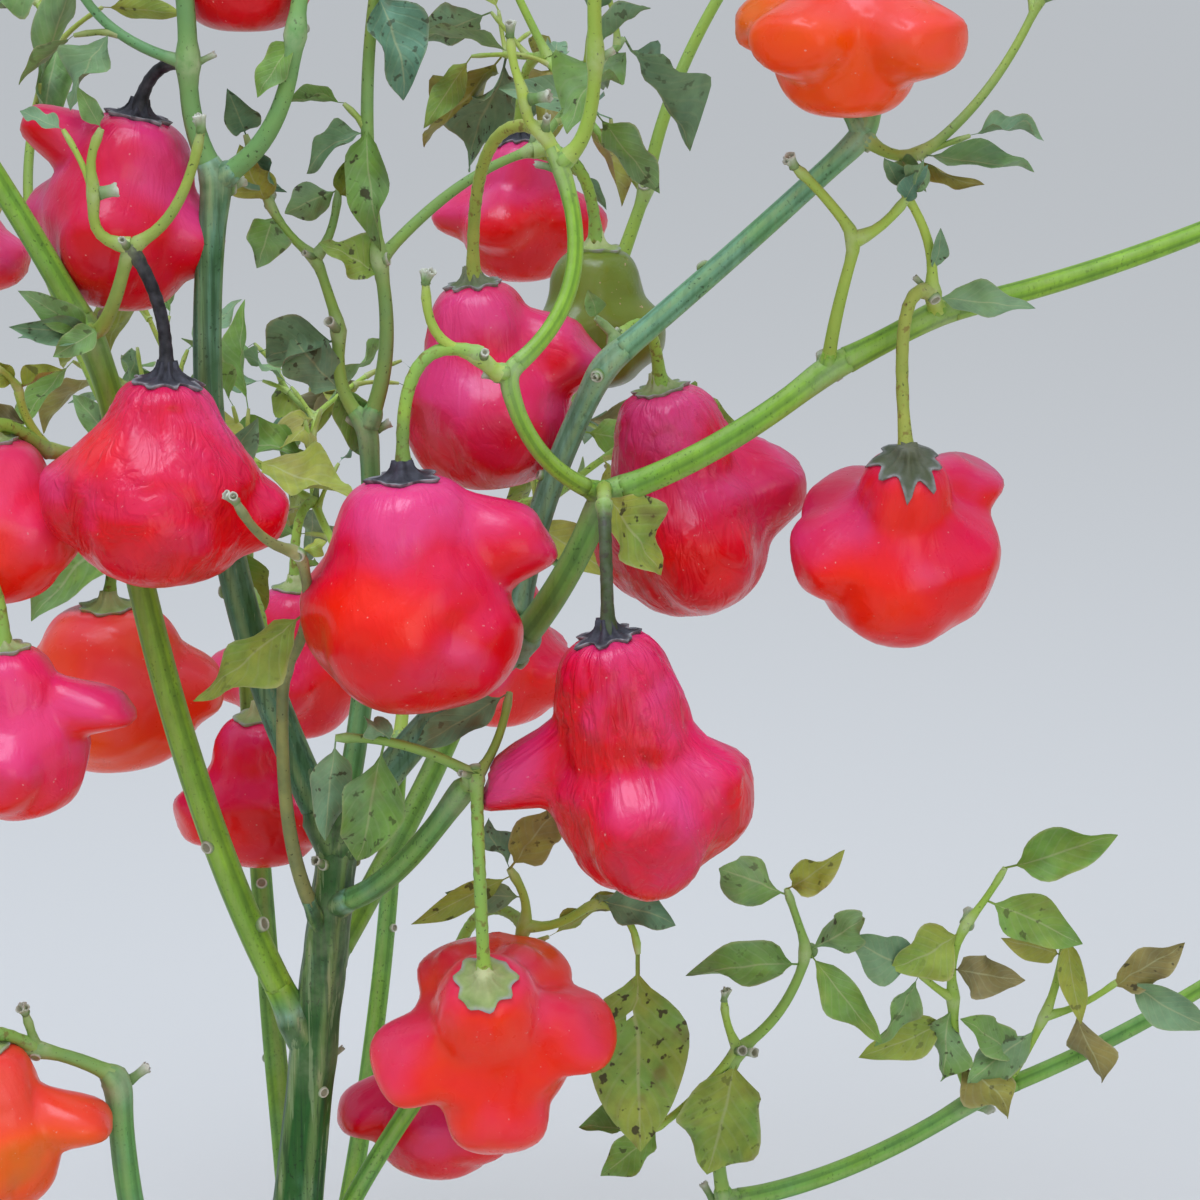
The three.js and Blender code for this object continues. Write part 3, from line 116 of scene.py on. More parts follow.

# %% [markdown]
# A bough is one tapering limb. Its row gives its name, the limb it grows from, how far along
# that limb, its tip, how far its middle bows out, its radius at foot and tip, and how old it
# looks: 0 is young and yellow-green, 1 is old, dark and bluish.
#
# A spray is everything that grows from the end of a bough.
#
# - A twig has a name, a parent, a tip, a bow and a radius.
# - A pod has a twig, the place of the calyx, the bow of the stalk, the lean of the pod, its
#   [width, height, dome, waist, spread], and its lobes. A lobe is [degrees round the pod, how
#   far down, length, size], and sometimes a droop of its own.
# - A leaf has a twig, how far along it, the reach from there to the leaf's tip, and a width.
# - A shoot has a twig, a heading, a length, and how many times it forks again.
# - The looks of its pods are [ripe, wrinkled, calyx dark, stalk dark, stalk yellow] for each.
# - A blush is where a leaf shades the shoulder of its pods. There the painted sky reflection is
#   left off and the colour is a little less ripe, so that it stays orange-red: [degrees round
#   the pod, how far down it, how strong].
# - A spray may have its own dryness of the twigs, and its own tint and wither of the leaves.

# %% The boughs, the sprays and the gaps that stay open
USUAL_WITHER = 0.12
BOUGHS = [
    ["left_bough", "main_stem", 1, [2, 4, 479], [-14, 2, 1], 4.5, 3.4, 0.85],
    ["centre_bough", "main_stem", 1, [37, 20, 413], [3, 8, 0], 3, 2.5, 0.5],
    ["right_bough", "main_stem", 1, [75, 0, 358], [-1, -1, 3], 4.5, 4.1, 0.75],
    ["low_left_bough", "main_stem", 0.84, [-26, 2, 402], [-4, -7, 0], 3.9, 3.5, 0.15],
    ["left_rise_bough", "low_left_bough", 1, [-31, -4, 442], [2, 0, 0], 3.5, 3.2, 0.25],
    ["far_left_bough", "left_rise_bough", 1, [-100, -24, 566], [3, 3, -2], 3.2, 2.4, 0.2],
    ["side_bough", "main_stem", 0.955, [63, -30, 329], [1, -3, -3], 3, 2.7, 0.45],
    ["inner_bough", "right_bough", 1, [99, -2, 433], [-3, 8, 0], 3.4, 3, 0.7],
    ["outer_bough", "right_bough", 1, [99, -10, 401], [1, -4, -1], 3.9, 3.5, 0.35],
    ["long_right_bough", "outer_bough", 1, [155, -8, 433], [1, -3, -2], 3.5, 3.1, 0.2],
    ["long_right_bough_mid", "long_right_bough", 1, [183, -4, 447], [0, -1, 0], 3.1, 2.8, 0.15],
    ["long_right_bough_end", "long_right_bough_mid", 1, [288, 10, 482], [0, 3, -4], 2.8, 2.2, 0.15],
    ["link_bough", "outer_bough", 1, [75, -24, 435], [-4, -4, -2], 2.3, 2.1, 0.1],
    ["rise_bough", "link_bough", 1, [88, -4, 484], [9, 1, -3], 2.1, 2, 0.15],
    ["upper_right_bough", "inner_bough", 1, [163, -6, 491], [0, 2, -1], 3, 2.6, 0.6],
    ["upper_right_bough_end", "upper_right_bough", 1, [214, 30, 596], [-6, 6, -4], 2.6, 2.1, 0.3],
    ["low_left_stem", "main_stem", 0.5, [-28, -28, 249], [-9, -8, -8], 3.6, 3.2, 0.5],
    ["low_middle_bough", "main_stem", 0.56, [72, -2, 266], [-3, 2, 2], 2.6, 2.3, 0.3],
    ["low_right_bough", "main_stem", 0.4, [132, -10, 204], [10, -6, -14], 3.4, 2.9, 0.3],
    ["low_right_bough_mid", "low_right_bough", 1, [200, -3, 231], [1, 0, -4], 2.7, 2.4, 0.3],
    ["low_right_bough_end", "low_right_bough_mid", 1, [322, 14, 304], [4, 2, -6], 2.4, 1.9, 0.3],
    ["back_left_bough", "main_stem", 0.68, [-8, 98, 366], [-4, 20, -14], 3.4, 2.8, 0.3],
    ["back_right_bough", "main_stem", 0.9, [100, 124, 430], [4, 22, -12], 3.6, 2.8, 0.3],
    ["back_low_bough", "main_stem", 0.36, [34, 140, 286], [4, 26, -14], 3.4, 2.7, 0.3],
    ["front_left_bough", "main_stem", 0.34, [-92, -118, 250], [-12, -20, -16], 3.4, 2.6, 0.3],
    ["front_right_bough", "main_stem", 0.3, [112, -150, 190], [12, -22, -16], 3.4, 2.6, 0.3],
]
SPRAYS = []


def spray(name, bough, seed, **rows):
    """Notes one spray. Its seed starts its own source of chance."""
    usual = {key: [] for key in ("pods", "leaves", "shoots", "blushes", "looks")}
    usual.update(along=1, dry=0, tint=None, wither=USUAL_WITHER)
    SPRAYS.append({"name": name, "bough": bough, "seed": seed, **usual, **rows})


spray("left_crown_spray", "left_bough", 3, tint=0.3, looks=[[1, 0.2, 1, 1, 0]], twigs=[
    ["stem", "", [-4, 2, 508], [-2, 0, 0], 2.8],
    ["leader", "stem", [-24, -14, 596], [6, 4, 0], 2.4],
    ["corner", "stem", [-34, 12, 530], [-4, 0, -3], 1.5],
], pods=[
    ["stem", [-19, 13, 494], [-2, 2, 4], [-0.2, 0, 0], [42, 49, 0.84, 0.42, 0.16],
     [[5, 0.55, 6, 0.9], [90, 0.65, 3, 1], [172, 0.18, 12, 0.6, -0.3], [200, 0.6, 4, 0.9],
      [280, 0.6, 5, 1]]],
], leaves=[
    ["corner", 1, [-24, 0, -6], 14], ["corner", 0.5, [-12, -6, -20], 12],
    ["corner", 0.9, [6, -8, 16], 12],
], shoots=[["leader", [-0.3, -0.25, 0.9], 62, 2], ["corner", [-0.7, 0.1, 0.6], 54, 1]])
spray("middle_crown_spray", "left_bough", 8, looks=[[1, 0.2, 0.5, 0.5, 0]], twigs=[
    ["stem", "", [23, 0, 515], [4, -1, -3], 2.6],
    ["leader", "stem", [50, 20, 590], [-5, 0, 0], 2.2],
    ["inward", "stem", [18, 14, 572], [3, 0, 0], 1.6],
], pods=[
    ["inward", [9, 16, 558], [-3, 0, 5], [0, 0, 0], [38, 43, 0.8, 0.4, 0.12],
     [[20, 0.6, 5, 0.9], [150, 0.55, 6, 0.9], [265, 0.6, 5, 0.9]]],
], leaves=[["stem", 1, [-10, -2, -14], 9]], shoots=[["leader", [0.3, 0.2, 1], 64, 2]])
spray("left_twig_spray", "left_rise_bough", 5, dry=0.2, looks=[[0.97, 0.8, 1, 1, 0]], twigs=[
    ["stem", "", [-15, -30, 467], [1, -6, -5], 2],
    ["right", "stem", [3, -28, 494], [2, 0, -5], 1.5],
    ["left", "stem", [-22, -32, 480], [-4, 0, -3], 1.5],
    ["left_tip", "left", [-20, -32, 495], [-2, 0, 0], 1.2],
], pods=[
    ["stem", [-8, -28, 434], [3, 0, 1], [-0.08, 0, 0], [50, 50, 0.62, 0.3, 0.2],
     [[90, 0.75, 3, 1.1], [185, 0.64, 5, 1], [270, 0.6, 5, 1], [350, 0.66, 7, 0.8]]],
], leaves=[
    ["stem", 0.12, [-20, -10, 2], 9], ["stem", 0.1, [-16, -14, 12], 8],
    ["stem", 0.3, [-12, -6, -8], 7], ["left_tip", 1, [-4, -4, 12], 5],
])
spray("far_left_spray", "far_left_bough", 21,
    twigs=[["stem", "", [-122, -30, 604], [3, 0, 0], 2.1]],
    shoots=[["stem", [-0.75, -0.2, 0.6], 60, 2], ["stem", [0.1, 0.3, 1], 56, 1]])
spray("left_side_spray", "low_left_bough", 13,
    tint=0.65, looks=[[0.8, 0.1, 0.2, 0, 0], [0.9, 0.2, 0.2, 0, 0]], twigs=[
    ["stem", "", [-42, -4, 411], [0, 0, 2], 1.9],
    ["outward", "stem", [-84, -20, 424], [0, 0, 3], 1.6],
    ["upward", "stem", [-48, -10, 430], [-2, 0, 0], 1.3],
    ["lower", "outward", [-82, -34, 404], [-3, 0, 2], 1.4],
], pods=[
    ["stem", [-55, -14, 416], [-3, -2, 6], [0, 0, 0], [38, 41, 0.85, 0.35, 0.12],
     [[20, 0.55, 3, 1.1], [160, 0.6, 5, 0.9], [270, 0.6, 4, 1]]],
    ["lower", [-50, -36, 368], [10, 0, 6], [0.1, 0, 0], [36, 43, 0.8, 0.4, 0.12],
     [[5, 0.36, 15, 0.7, 0.1], [100, 0.66, 5, 1], [190, 0.55, 6, 0.9], [275, 0.6, 5, 1]]],
], leaves=[
    ["upward", 1, [-10, -4, 8], 7], ["upward", 0.9, [12, -2, 6], 6],
    ["upward", 0.4, [-16, 2, 2], 8],
], shoots=[["outward", [-0.9, -0.3, 0.5], 60, 1]])
spray("front_twig_spray", "main_stem", 17, dry=0.5, tint=0.5, along=0.93, twigs=[
    ["stem", "", [17, -15, 357], [-3, -7, 0], 2],
    ["riser", "stem", [25, -40, 394], [4, -2, -1], 1.6],
    ["tip", "riser", [12, -56, 410], [-1, 0, -3], 1.4],
], leaves=[["riser", 0.55, [-28, -10, -22], 16], ["riser", 1, [7, -4, 5], 5]])
spray("centre_left_spray", "centre_bough", 29, twigs=[
    ["stem", "", [30, 23, 438], [-3, 0, -1], 2],
    ["upper", "stem", [24, 25, 457], [0, 0, 0], 1.6],
    ["left", "upper", [12, 27, 470], [0, 0, -2], 1.3],
    ["right", "upper", [30, 28, 474], [1, 0, -2], 1.3],
    ["far", "left", [6, 30, 488], [0, 0, 0], 1.1],
], leaves=[
    ["left", 1, [-8, -6, 18], 12], ["left", 0.9, [-4, -8, -14], 11],
    ["far", 1, [-4, -6, 14], 11], ["far", 0.9, [10, -4, -14], 12],
    ["right", 1, [-14, -6, -4], 11], ["right", 0.9, [10, -4, 14], 9],
    ["stem", 0.9, [-22, 8, -6], 16], ["stem", 0.3, [-16, 4, 16], 14],
    ["stem", 0.5, [6, 6, -24], 11],
])
spray("centre_right_spray", "centre_bough", 31, looks=[[0.05, 0, 0, 0, 0]], twigs=[
    ["stem", "", [41, 18, 457], [3, 0, 0], 2.2],
    ["leader", "stem", [42, 22, 530], [-3, 0, 0], 1.9],
    ["across", "stem", [80, 50, 482], [0, 4, 4], 1.6],
    ["top", "leader", [52, 40, 592], [-2, 0, 0], 1.6],
], pods=[
    ["across", [97, 56, 455], [4, 0, 8], [0, 0, 0], [32, 38, 0.85, 0.4, 0.12],
     [[10, 0.6, 3, 1], [130, 0.6, 3, 1], [250, 0.6, 3, 1]]],
], leaves=[
    ["leader", 0.95, [8, -6, -30], 17], ["leader", 0.5, [3, -7, -36], 13],
    ["leader", 0.45, [-18, -6, -10], 11], ["stem", 0.9, [-16, -4, 10], 11],
], shoots=[["top", [0.2, 0.5, 0.8], 56, 1], ["across", [0.6, 0.5, 0.6], 40, 0]])
spray("hook_pod_spray", "link_bough", 37,
    blushes=[[112, 0.47, 1]], looks=[[0.97, 0.25, 1, 0.35, 0]], twigs=[
    ["stem", "", [69, -27, 440], [0, 0, -1], 1.9],
    ["left", "stem", [56, -30, 458], [-4, 0, -4], 1.4],
], pods=[
    ["stem", [50, -31, 410], [-6, 0, 12], [0.05, 0, 0], [50, 58, 0.82, 0.36, 0.14],
     [[357, 0.28, 14.5, 0.8, -0.05], [30, 0.74, 4, 1], [110, 0.7, 3, 1.1], [195, 0.6, 3, 1.1],
      [280, 0.6, 6, 1]]],
])
spray("rise_pod_spray", "rise_bough", 41, looks=[[1, 0.3, 0.7, 0, 0.7]], twigs=[
    ["stem", "", [84, -3, 492], [0, 0, 0], 1.8],
    ["left", "stem", [80, -6, 500], [-2, 0, -2], 1.4],
    ["left_tip", "left", [76, -6, 515], [-1, 0, 0], 1.2],
], pods=[
    ["stem", [65, 24, 450], [-5, 0, 14], [0.12, 0, 0], [44, 54, 0.72, 0.4, 0.12],
     [[8, 0.36, 12, 0.85, -0.05], [80, 0.7, 3, 1], [190, 0.75, 2, 1], [270, 0.6, 6, 1]]],
])
spray("rise_top_spray", "rise_bough", 43, twigs=[
    ["stem", "", [97, -6, 510], [2, 0, -3], 2],
    ["leader", "stem", [108, -16, 588], [-4, 0, 0], 1.8],
], shoots=[["leader", [0.1, -0.2, 0.9], 62, 2]])
spray("inner_pod_spray", "inner_bough", 47, looks=[[1, 0.9, 0.35, 0, 0]], twigs=[
    ["stem", "", [103, 9, 438], [0, 0, 0], 2.2],
    ["stub", "stem", [97, 6, 444], [0, 0, 0], 1.2],
], pods=[
    ["stem", [114, 29, 421], [2, 2, 9], [0.2, 0.05, 0], [46, 62, 0.78, 0.42, 0.08],
     [[350, 0.5, 11, 1, -0.05], [80, 0.72, 6, 1], [200, 0.7, 4, 1], [270, 0.6, 5, 1]]],
], leaves=[["stub", 1, [-3, -4, 9], 6]])
spray("middle_pod_spray", "outer_bough", 53,
    tint=0.4, looks=[[1, 1, 1, 0.85, 0]], twigs=[["stem", "", [99, -27, 403], [0, 0, 2], 2]],
    pods=[
    ["stem", [100, -38, 372], [0, -4, 3], [0.17, 0.04, 0], [44, 66, 0.78, 0.5, 0.07],
     [[12, 0.66, 8, 1.05], [85, 0.76, 8, 1.1], [186, 0.47, 18.5, 0.64, 0.2], [270, 0.62, 7, 1]]],
], leaves=[["stem", 0.5, [16, 8, -25], 17]])
spray("long_right_twig_spray", "long_right_bough", 59, twigs=[
    ["stem", "", [161, -16, 467], [-1, -3, 0], 1.8],
    ["left", "stem", [145, -20, 485], [0, 0, 1], 1.4],
    ["right", "stem", [173, -20, 478], [0, 0, -2], 1.4],
], leaves=[["right", 1, [4, -8, 11], 7], ["right", 0.9, [5, -5, 10], 6]])
spray("long_right_pod_spray", "long_right_bough_mid", 61,
    blushes=[[95, 0.12, 0.8], [118, 0.5, 1]], looks=[[0.93, 0.15, 0.8, 0, 0.8]], twigs=[
    ["stem", "", [180, -12, 453], [0, 0, 0], 2.1],
    ["upward", "stem", [171, -18, 480], [3, 0, 0], 1.4],
], pods=[
    ["stem", [174, -24, 413], [-4, 0, 13], [0.03, 0.6, 0], [47, 53, 0.56, 0.34, 0.12],
     [[25, 0.62, 2.5, 1], [95, 0.68, 2.5, 1], [165, 0.5, 5.5, 0.85], [225, 0.5, 4, 0.8],
      [320, 0.32, 10, 0.75, 0]]],
], leaves=[
    ["stem", 0.8, [26, -5, -2], 9], ["upward", 0.2, [2, -6, 12], 5],
    ["upward", 1, [-5, -3, 9], 6],
])
spray("upper_right_pod_spray", "upper_right_bough", 67, looks=[[0.62, 0.05, 0.1, 0, 0]], twigs=[
    ["stem", "", [156, -2, 502], [0, 0, 0], 2],
    ["rise", "stem", [164, 8, 562], [-1, 9, 0], 1.7],
    ["stub", "stem", [144, -12, 509], [1, 2, -2], 1.4],
    ["left", "rise", [150, -2, 584], [0, 0, 0], 1.3],
], pods=[
    ["rise", [157, -23, 544], [0, -3, 5], [0, 0, 0], [38, 47, 0.72, 0.4, 0.1],
     [[45, 0.58, 12, 0.95], [128, 0.58, 11, 0.9], [185, 0.5, 8, 0.8], [270, 0.5, 6, 1]]],
], shoots=[["left", [-0.3, 0.2, 1], 46, 0]])
spray("upper_right_thin_spray", "upper_right_bough", 71, dry=0.15, twigs=[
    ["stem", "", [176, -14, 487], [0, 0, -2], 1.6],
    ["thin", "stem", [206, 0, 524], [2, 0, -3], 1.3],
], leaves=[
    ["stem", 1, [33, -4, -3], 10], ["stem", 0.9, [18, -8, -8], 6],
    ["stem", 0.6, [6, -10, -8], 6],
], shoots=[["thin", [0.6, 0, 0.7], 44, 0]])
spray("upper_right_top_spray", "upper_right_bough_end", 73,
    twigs=[["stem", "", [226, 36, 628], [0, 0, 0], 1.9]], shoots=[["stem", [0.3, 0.2, 0.8], 60, 2]])
spray("side_pod_spray", "side_bough", 79, looks=[[0.75, 0.1, 0.05, 0, 0]], twigs=[
    ["stem", "", [67, -36, 335], [0, 0, 0], 2.2],
    ["left", "stem", [32, -36, 345], [0, 0, 3], 1.4],
    ["upward", "stem", [75, -20, 352], [1, 0, -2], 1.3],
], pods=[
    ["stem", [69, -47, 284], [0, -4, 3], [0.03, 0.8, 0], [43, 54, 0.7, 0.4, 0.1],
     [[2, 0.42, 11, 0.85], [85, 0.72, 8, 1], [160, 0.5, 10, 0.85], [245, 0.4, 8, 0.9],
      [300, 0.4, 8, 0.9]]],
], leaves=[
    ["left", 1, [-5, -4, -28], 12], ["left", 0.65, [-8, -2, -34], 18],
    ["left", 0.6, [-6, -6, 9], 7], ["upward", 1, [-25, -6, -12], 10],
])
spray("low_left_spray", "low_left_stem", 83, looks=[[0.62, 0.05, 0, 0, 0]], twigs=[
    ["stem", "", [-48, -32, 259], [0, 0, 1], 2.2],
    ["outward", "stem", [-100, -46, 286], [0, 0, -3], 1.8],
    ["stub", "stem", [-50, -34, 270], [0, 0, 0], 1.3],
], pods=[
    ["stem", [-60, -40, 263], [-2, -2, 5], [0.05, 0, 0], [36, 44, 0.8, 0.4, 0.12],
     [[358, 0.46, 13, 0.75], [100, 0.66, 5, 1], [185, 0.55, 6, 0.9], [270, 0.6, 5, 1]]],
], shoots=[["outward", [-0.8, -0.3, 0.5], 60, 2]])
spray("low_middle_spray", "low_middle_bough", 89,
    tint=0.42, wither=0.1, looks=[[0.95, 0.2, 0.2, 0, 0]], twigs=[
    ["stem", "", [78, -4, 282], [0, 0, -1], 1.9],
    ["left", "stem", [74, -6, 299], [2, 0, 0], 1.4],
    ["right", "stem", [97, -10, 292], [0, 0, -3], 1.4],
    ["down", "right", [108, -14, 278], [3, 0, 2], 1.2],
], pods=[
    ["stem", [52, 26, 238], [-2, 8, 14], [0, 0, 0], [40, 42, 0.75, 0.4, 0.12],
     [[40, 0.6, 5, 1], [170, 0.5, 9, 0.9], [280, 0.6, 5, 1]]],
], leaves=[
    ["left", 0.9, [-28, -8, -12], 8], ["left", 1, [14, -4, 22], 14],
    ["left", 0.5, [-22, -2, 2], 8], ["right", 1, [24, -4, -5], 13],
    ["down", 1, [1, -14, -53], 26], ["left", 1, [-8, 2, 16], 9],
])
spray("low_right_spray", "low_right_bough", 97, tint=0.35, wither=0.3, twigs=[
    ["stem", "", [135, -10, 249], [-3, 0, 0], 1.9],
    ["upward", "stem", [153, -12, 278], [2, 0, -3], 1.6],
    ["left", "stem", [131, -12, 264], [-1, 0, 0], 1.2],
    ["top", "upward", [147, -13, 296], [0, 0, 0], 1.2],
    ["low", "stem", [112, -12, 226], [0, 0, -2], 1.3],
], leaves=[
    ["stem", 0.97, [-8, -6, -35], 22], ["upward", 0.9, [-33, -5, -1], 14],
    ["top", 0.9, [-19, -5, 10], 15], ["upward", 1, [14, -13, 16], 12],
    ["upward", 1, [21, -10, -22], 10], ["top", 1, [15, -4, 14], 11],
    ["low", 1, [-22, -2, 3], 11], ["low", 0.9, [-17, -5, -14], 10],
])
spray("low_right_leafy_spray", "low_right_bough_mid", 101, tint=0.5, wither=0.5, twigs=[
    ["stem", "", [193, -6, 262], [-2, 0, 0], 1.7],
    ["upper", "stem", [195, -8, 284], [-2, 0, 0], 1.4],
    ["tip", "upper", [205, -8, 300], [0, 0, -1], 1.1],
    ["side", "stem", [182, -10, 272], [0, 0, -1], 1.1],
], leaves=[
    ["tip", 1, [31, -5, 13], 15], ["tip", 0.5, [26, -8, -10], 14],
    ["upper", 0.9, [-20, -6, -9], 16], ["stem", 0.95, [-5, -8, -23], 14],
    ["stem", 0.8, [-27, -5, -10], 11], ["side", 1, [-20, -5, 12], 14],
    ["side", 0.9, [-12, -6, -20], 11], ["upper", 0.4, [18, -13, 2], 11],
    ["stem", 0.4, [15, -13, -13], 14],
])
spray("low_right_small_spray", "low_right_bough_mid", 103, wither=0.45, twigs=[
    ["stem", "", [218, -4, 256], [1, 0, -2], 1.4],
    ["upper", "stem", [222, -6, 282], [1, 0, 0], 1.2],
    ["right", "stem", [238, -6, 268], [0, 0, -2], 1.1],
], leaves=[
    ["upper", 1, [5, -5, -26], 8], ["upper", 0.7, [-18, -8, 8], 9],
    ["stem", 0.9, [-22, -12, -12], 13], ["right", 1, [26, -5, -13], 12],
    ["right", 0.8, [20, -5, 15], 12], ["stem", 0.5, [-18, -6, 15], 12],
    ["right", 0.4, [8, -8, -23], 12],
])
spray("low_right_end_spray", "low_right_bough_end", 107, tint=0.7,
    twigs=[["stem", "", [344, 16, 322], [0, 0, 0], 1.7]],
    shoots=[["stem", [0.6, -0.3, 0.7], 48, 1], ["stem", [0.4, 0.7, 0.5], 44, 1]])
spray("long_right_end_spray", "long_right_bough_end", 109,
    twigs=[["stem", "", [312, 14, 494], [0, 0, 0], 2]],
    shoots=[["stem", [0.8, -0.2, 0.6], 56, 2], ["stem", [0.1, 0.6, 0.8], 46, 0]])
spray("back_left_spray", "back_left_bough", 113,
    looks=[[0.66, 0.05, 0, 0, 0], [0.95, 0.1, 0.2, 0, 0]], twigs=[
    ["stem", "", [-32, 90, 380], [0, 0, 0], 2.2],
    ["right", "stem", [-2, 64, 356], [0, 0, 5], 1.6],
    ["leader", "stem", [-70, 120, 452], [0, 0, -6], 2],
], pods=[
    ["stem", [-43, 70, 350], [-2, 0, 9], [0, 0, 0], [52, 47, 0.86, 0.35, 0.14],
     [[350, 0.5, 6, 1], [90, 0.6, 3, 1], [180, 0.5, 3, 1], [270, 0.5, 4, 1]]],
    ["right", [2, 48, 324], [3, -2, 7], [0, 0, 0], [38, 43, 0.78, 0.4, 0.12],
     [[30, 0.6, 6, 0.9], [150, 0.6, 7, 0.9], [270, 0.6, 5, 1]]],
], leaves=[
    ["stem", 0.9, [-38, -18, -34], 28], ["right", 0.6, [12, 10, -30], 15],
    ["stem", 0.6, [22, 4, 26], 15],
], shoots=[["leader", [-0.7, 0.3, 0.7], 62, 2], ["leader", [0.1, 0.5, 0.9], 62, 1]])
spray("back_right_spray", "back_right_bough", 127, twigs=[
    ["stem", "", [112, 140, 462], [0, 0, 0], 2.3],
    ["leader", "stem", [150, 170, 540], [-6, 0, 0], 2],
], shoots=[["leader", [0.4, 0.4, 0.8], 62, 2], ["stem", [-0.5, 0.7, 0.5], 60, 1]])
spray("back_low_spray", "back_low_bough", 131,
    twigs=[["stem", "", [36, 166, 316], [0, 0, -2], 2.2]],
    shoots=[["stem", [-0.5, 0.7, 0.4], 66, 2], ["stem", [0.7, 0.6, 0.4], 62, 1]])
spray("front_left_spray", "front_left_bough", 137,
    twigs=[["stem", "", [-108, -138, 272], [0, 0, -2], 2.1]],
    shoots=[["stem", [-0.8, -0.1, 0.6], 60, 1], ["stem", [-0.1, -0.8, 0.5], 62, 2]])
spray("front_right_spray", "front_right_bough", 139,
    twigs=[["stem", "", [126, -172, 202], [0, 0, 0], 2.1]],
    shoots=[["stem", [0.8, -0.3, 0.3], 62, 2], ["stem", [-0.2, -0.9, 0.2], 56, 1]])

OPEN_GAPS = [[[95, -90, 400], [95, -420, 480], 118], [[215, -60, 390], [215, 160, 330], 48]]

# %% [markdown]
# ## Step 2: the rule that grows the crown
# The solids and these looks have to agree, so the rule here is the one that made the solids.
# It needs a source of chance that gives the same numbers in every language, so it uses a small
# one of its own. Each new twig, leaf or pod is laid down only where it keeps clear of the rest.

# %% Ways, lengths and chance
UP = np.array([0.0, 0.0, 1.0])
TURN = 2 * math.pi


def vec(values):
    return np.array(values, float)


def size_of(v):
    return math.sqrt(float(v @ v))


def unit(v):
    return v / size_of(v)


def between(span, share):
    return span[0] + (span[1] - span[0]) * share


def across(direction):
    side = np.cross(direction, UP)
    return vec([1, 0, 0]) if size_of(side) < 0.05 else unit(side)


def turned(v, axis, angle):
    along = axis * (float(axis @ v) * (1 - math.cos(angle)))
    return v * math.cos(angle) + np.cross(axis, v) * math.sin(angle) + along


def angle_between(a, b):
    return math.acos(max(-1.0, min(1.0, float(unit(a) @ unit(b)))))


def random_from(seed):
    """A source of chance that gives the same numbers in every language."""
    state = seed

    def draw():
        nonlocal state
        state = (state * 1664525 + 1013904223) % 4294967296
        return state / 4294967296

    return draw


class Curve:
    """The middle line of a limb: it leaves its foot towards a control point."""

    def __init__(self, foot, control, tip):
        self.foot, self.control, self.tip = foot, control, tip

    def at(self, t):
        return (1 - t) ** 2 * self.foot + 2 * (1 - t) * t * self.control + t * t * self.tip

    def heading(self, t):
        low, high = max(0.0, t - 0.0001), min(1.0, t + 0.0001)
        return unit(self.at(high) - self.at(low))


def limb_curve(foot, tip, bow):
    return Curve(foot, (foot + tip) * 0.5 + 2 * bow, tip)


# %% Which room is taken, as round-ended stretches
class Room:
    """Every limb, leaf and pod that is already there, with its owner."""

    def __init__(self, most=6000):
        self.count = 0
        self.start, self.end = np.zeros((most, 3)), np.zeros((most, 3))
        self.radius = np.zeros(most)
        self.owner, self.is_pod = np.zeros(most, int), np.zeros(most, bool)
        self.owners = {}

    def number(self, owner):
        return self.owners.setdefault(owner, len(self.owners))

    def take(self, stretches):
        for owner, is_pod, start, end, radius in stretches:
            i = self.count
            self.start[i], self.end[i], self.radius[i] = start, end, radius
            self.owner[i], self.is_pod[i] = self.number(owner), is_pod
            self.count += 1

    def distances(self, start, end):
        """How far a stretch passes from each that is there."""
        tiny = 1e-9
        n = self.count
        u, v = end - start, self.end[:n] - self.start[:n]
        w = start - self.start[:n]
        a, b, c = float(u @ u), v @ u, np.einsum("ij,ij->i", v, v)
        d, e = w @ u, np.einsum("ij,ij->i", v, w)
        level = a * c - b * b
        safe_level = np.where(level > tiny, level, 1)
        s = np.where(level > tiny, np.clip((b * e - c * d) / safe_level, 0, 1), 0)
        t = np.where(c > tiny, (b * s + e) / np.where(c > tiny, c, 1), 0)
        outside = (t < 0) | (t > 1)
        clipped = np.clip(t, 0, 1)
        again = np.clip((b * clipped - d) / a, 0, 1) if a > tiny else np.zeros(n)
        s, t = np.where(outside, again, s), np.where(outside, clipped, t)
        return np.linalg.norm(w + s[:, None] * u - t[:, None] * v, axis=1)

    def is_free(self, stretches):
        n = self.count
        for owner, is_pod, start, end, radius in stretches:
            matters = (self.owner[:n] != self.number(owner)) | self.is_pod[:n] | is_pod
            room = radius + self.radius[:n] + CLEARANCE
            if np.any(matters & (self.distances(start, end) <= room)):
                return False
        return True


def limb_stretches(owner, limb):
    points = [limb["curve"].at(i / STRETCHES) for i in range(STRETCHES + 1)]
    radius = max(limb["foot_radius"], limb["tip_radius"])
    return [(owner, False, a, b, radius) for a, b in zip(points, points[1:])]


def leaf_stretches(owner, leaf):
    return [(owner, False, leaf["root"], leaf["root"] + leaf["reach"], leaf["width"] / 2)]


def pod_stretches(owner, pod):
    radius = pod["width"] / 2 + LOBE_ROOM * max(lobe[2] for lobe in pod["lobes"])
    deep = min(radius, pod["height"] / 2)
    start = pod["calyx"] + pod["axis"] * deep
    return [(owner, True, start, pod["calyx"] + pod["axis"] * (pod["height"] - deep), radius)]


def stalk_stretches(owner, pod):
    stalk = {"curve": pod["stalk"], "foot_radius": STALK_RADIUS, "tip_radius": STALK_RADIUS}
    return limb_stretches(owner, stalk)


room = Room()
room.take([("gap", False, vec(a), vec(b), radius) for a, b, radius in OPEN_GAPS])


# %% The main stem, the boughs and the arms of their forks
def make_limb(curve, foot_radius, tip_radius):
    return {"curve": curve, "foot_radius": foot_radius, "tip_radius": tip_radius, "arms": []}


def radius_of(limb, along):
    return limb["foot_radius"] + (limb["tip_radius"] - limb["foot_radius"]) * along


